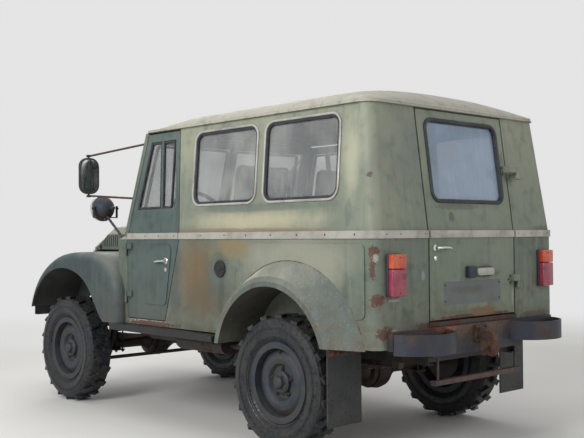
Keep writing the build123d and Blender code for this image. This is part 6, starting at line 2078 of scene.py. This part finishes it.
@dataclass
class SeatPads(Assembly):
    """Front seats and rear benches: pads swollen by a cloth run, on steel boxes and boards."""

    stitches: int = 72
    frames: int = 20
    cord: float = 0.0042
    stuffing: float = 0.3
    stretch: float = 22.0
    crease: float = 0.6
    rounded: float = 0.09
    drop: float = 0.075
    flat_share: float = 0.35
    drop_power: float = 1.6

    def build(self) -> None:
        """Makes every pad, its piping and the frames under it."""
        for side in Side:
            low, high = side.span(0.13, 0.57)
            self._pad(PadShape(f"seat_cushion_{side.label}", (-0.185, low, 0.902), (0.135, high, 0.998)))
            back = (-0.288, low, 0.925), (-0.212, high, 1.665)
            self._pad(PadShape(f"seat_back_{side.label}", *back, -0.13, 0.032))
            low, high = side.span(0.496, 0.748)
            bench = (-1.645, low, 0.936), (-0.635, high, 0.976)
            self._pad(PadShape(f"bench_pad_{side.label}", *bench, 0.0, 0.016, 0.011, 1.5, 0.012))
        self._frames()

    def _pad(self, shape: PadShape) -> None:
        """Makes one pad and its piping.

        Args:
            shape: sizes of the pad.
        """
        shaper = Shaper()
        shaper.block(shape.low, shape.high, shape.soften, 3)
        height = shape.high[2] - shape.low[2]
        if "back" in shape.name:
            middle = (shape.low[1] + shape.high[1]) / 2
            half = (shape.high[1] - shape.low[1]) / 2
            for vert in [v for v in shaper.bm.verts if v.co.z > shape.high[2] - self.rounded]:
                reach = abs(vert.co.y - middle) / half
                vert.co.z -= self.drop * max(reach - self.flat_share, 0.0) ** self.drop_power
        for vert in shaper.bm.verts:
            vert.co.x += shape.lean * (vert.co.z - shape.low[2]) / height
        bmesh.ops.subdivide_edges(shaper.bm, edges=shaper.bm.edges, cuts=2, use_grid_fill=True)
        pad = self.finish(shaper, shape.name, "cover", smooth=180.0)
        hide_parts("seats")
        self._swell(pad, shape)
        relax = pad.modifiers.new("smooth_cover", "SUBSURF")
        relax.levels = relax.render_levels = 1
        for polygon in pad.data.polygons:
            polygon.use_smooth = True
        self._piping(pad, shape)

    def _piping(self, pad: bpy.types.Object, shape: PadShape) -> None:
        """Lays a sewn cord round each face of a pad, on the surface that the cloth run gave it.

        Args:
            pad: the finished pad.
            shape: sizes of the pad.
        """
        bpy.context.view_layer.update()
        ground = Ground(pad)
        middle = (Vector(shape.low) + Vector(shape.high)) / 2
        middle.x += shape.lean / 2
        wide, tall = shape.high[0] - shape.low[0], shape.high[2] - shape.low[2]
        upright = "back" in shape.name
        rise = Vector((shape.lean, 0.0, tall)).normalized() if upright else AHEAD
        normal = LEFTWARD.cross(rise).normalized()
        depth = wide if upright else tall
        for number, sign in enumerate((1.0, -1.0)):
            centre = middle + normal * sign * (depth / 2 - 0.45 * shape.soften)
            points = []
            for step in range(self.stitches):
                angle = math.tau * step / self.stitches
                ray = (LEFTWARD * math.cos(angle) + rise * math.sin(angle)).normalized()
                place = ground.tree.ray_cast(centre, ray)[0]
                if place is not None:
                    points.append(tuple(place - ray * 0.001))
            self.rod(f"{shape.name}_piping_{number}", points, self.cord, "piping", closed=True, steps=2)

    def _swell(self, pad: bpy.types.Object, shape: PadShape) -> None:
        """Fills a pad: remesh, a short cloth run under pressure, and a cap on how far any point moved."""
        remesh = pad.modifiers.new("even", "REMESH")
        remesh.mode = "VOXEL"
        remesh.voxel_size = shape.voxel
        self._apply(pad)
        rest = [v.co.copy() for v in pad.data.vertices]
        settings = pad.modifiers.new("cover", "CLOTH").settings
        settings.quality = 5
        settings.mass = self.stuffing
        settings.tension_stiffness = settings.compression_stiffness = self.stretch
        settings.bending_stiffness = self.crease
        settings.use_pressure = True
        settings.uniform_pressure_force = shape.pressure
        settings.effector_weights.gravity = 0.0
        scene = bpy.context.scene
        scene.frame_start, scene.frame_end = 1, self.frames
        for frame in range(1, self.frames + 1):
            scene.frame_set(frame)
        self._apply(pad)
        scene.frame_set(1)
        for vert, start in zip(pad.data.vertices, rest):
            move = vert.co - start
            if move.length > shape.swell:
                vert.co = start + move * (shape.swell / move.length)
        LOG.info("%s swollen over %d points", pad.name, len(rest))

    def _apply(self, pad: bpy.types.Object) -> None:
        """Turns the pad's modifiers into its mesh."""
        view = bpy.context.evaluated_depsgraph_get()
        shaped = bpy.data.meshes.new_from_object(pad.evaluated_get(view))
        old = pad.data
        pad.modifiers.clear()
        pad.data = shaped
        bpy.data.meshes.remove(old)

    def _frames(self) -> None:
        """Makes the steel boxes under the front seats and the boards under the benches."""
        frames = Shaper()
        for side in Side:
            low, high = side.span(0.15, 0.55)
            frames.block((-0.26, low, 0.6325), (0.12, high, 0.86), 0.012, 2)
            low, high = side.span(0.122, 0.578)
            frames.block((-0.275, low, 0.861), (0.14, high, 0.898), 0.008, 2)
            for y in (low + 0.008, high - 0.008):
                frames.bar(Vector((-0.283, y, 0.885)), Vector((-0.372, y, 1.5)), 0.008, 0.008)
            low, high = side.span(0.482, 0.762)
            frames.block((-1.658, low, 0.9215), (-0.622, high, 0.935), 0.004, 2)
        self.finish(frames, "seat_frames", "cabin")


def report_sizes(solid: object, shown: object) -> None:
    plain = lambda box: [[float(v) for v in corner] for corner in box]
    {"cad": plain(solid), "visual": plain(shown)}


ASSEMBLIES: tuple[type[Assembly], ...] = (
    WindowTrims,
    BeltScrews,
    RoofEdge,
    FuelFiller,
    TailLamps,
    Headlamps,
    Mirrors,
    SearchLamp,
    WheelDetails,
    Wipers,
    BonnetDetails,
    RearDoorDetails,
    SideDoorDetails,
    FrontDetails,
    Undercarriage,
    BeamBolts,
    CabinDetails,
    SeatPads,
)


def main() -> None:
    """Builds the studio and every sub-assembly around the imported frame."""
    logging.basicConfig(level=logging.INFO, format="%(name)s: %(message)s")
    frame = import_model()
    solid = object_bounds()
    Studio().build()
    dresser = Dresser(frame["nodes"], Palette())
    dresser.dress()
    for assembly in ASSEMBLIES:
        assembly(dresser).build()
    report_sizes(solid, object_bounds())


if __name__ == "__main__":
    main()
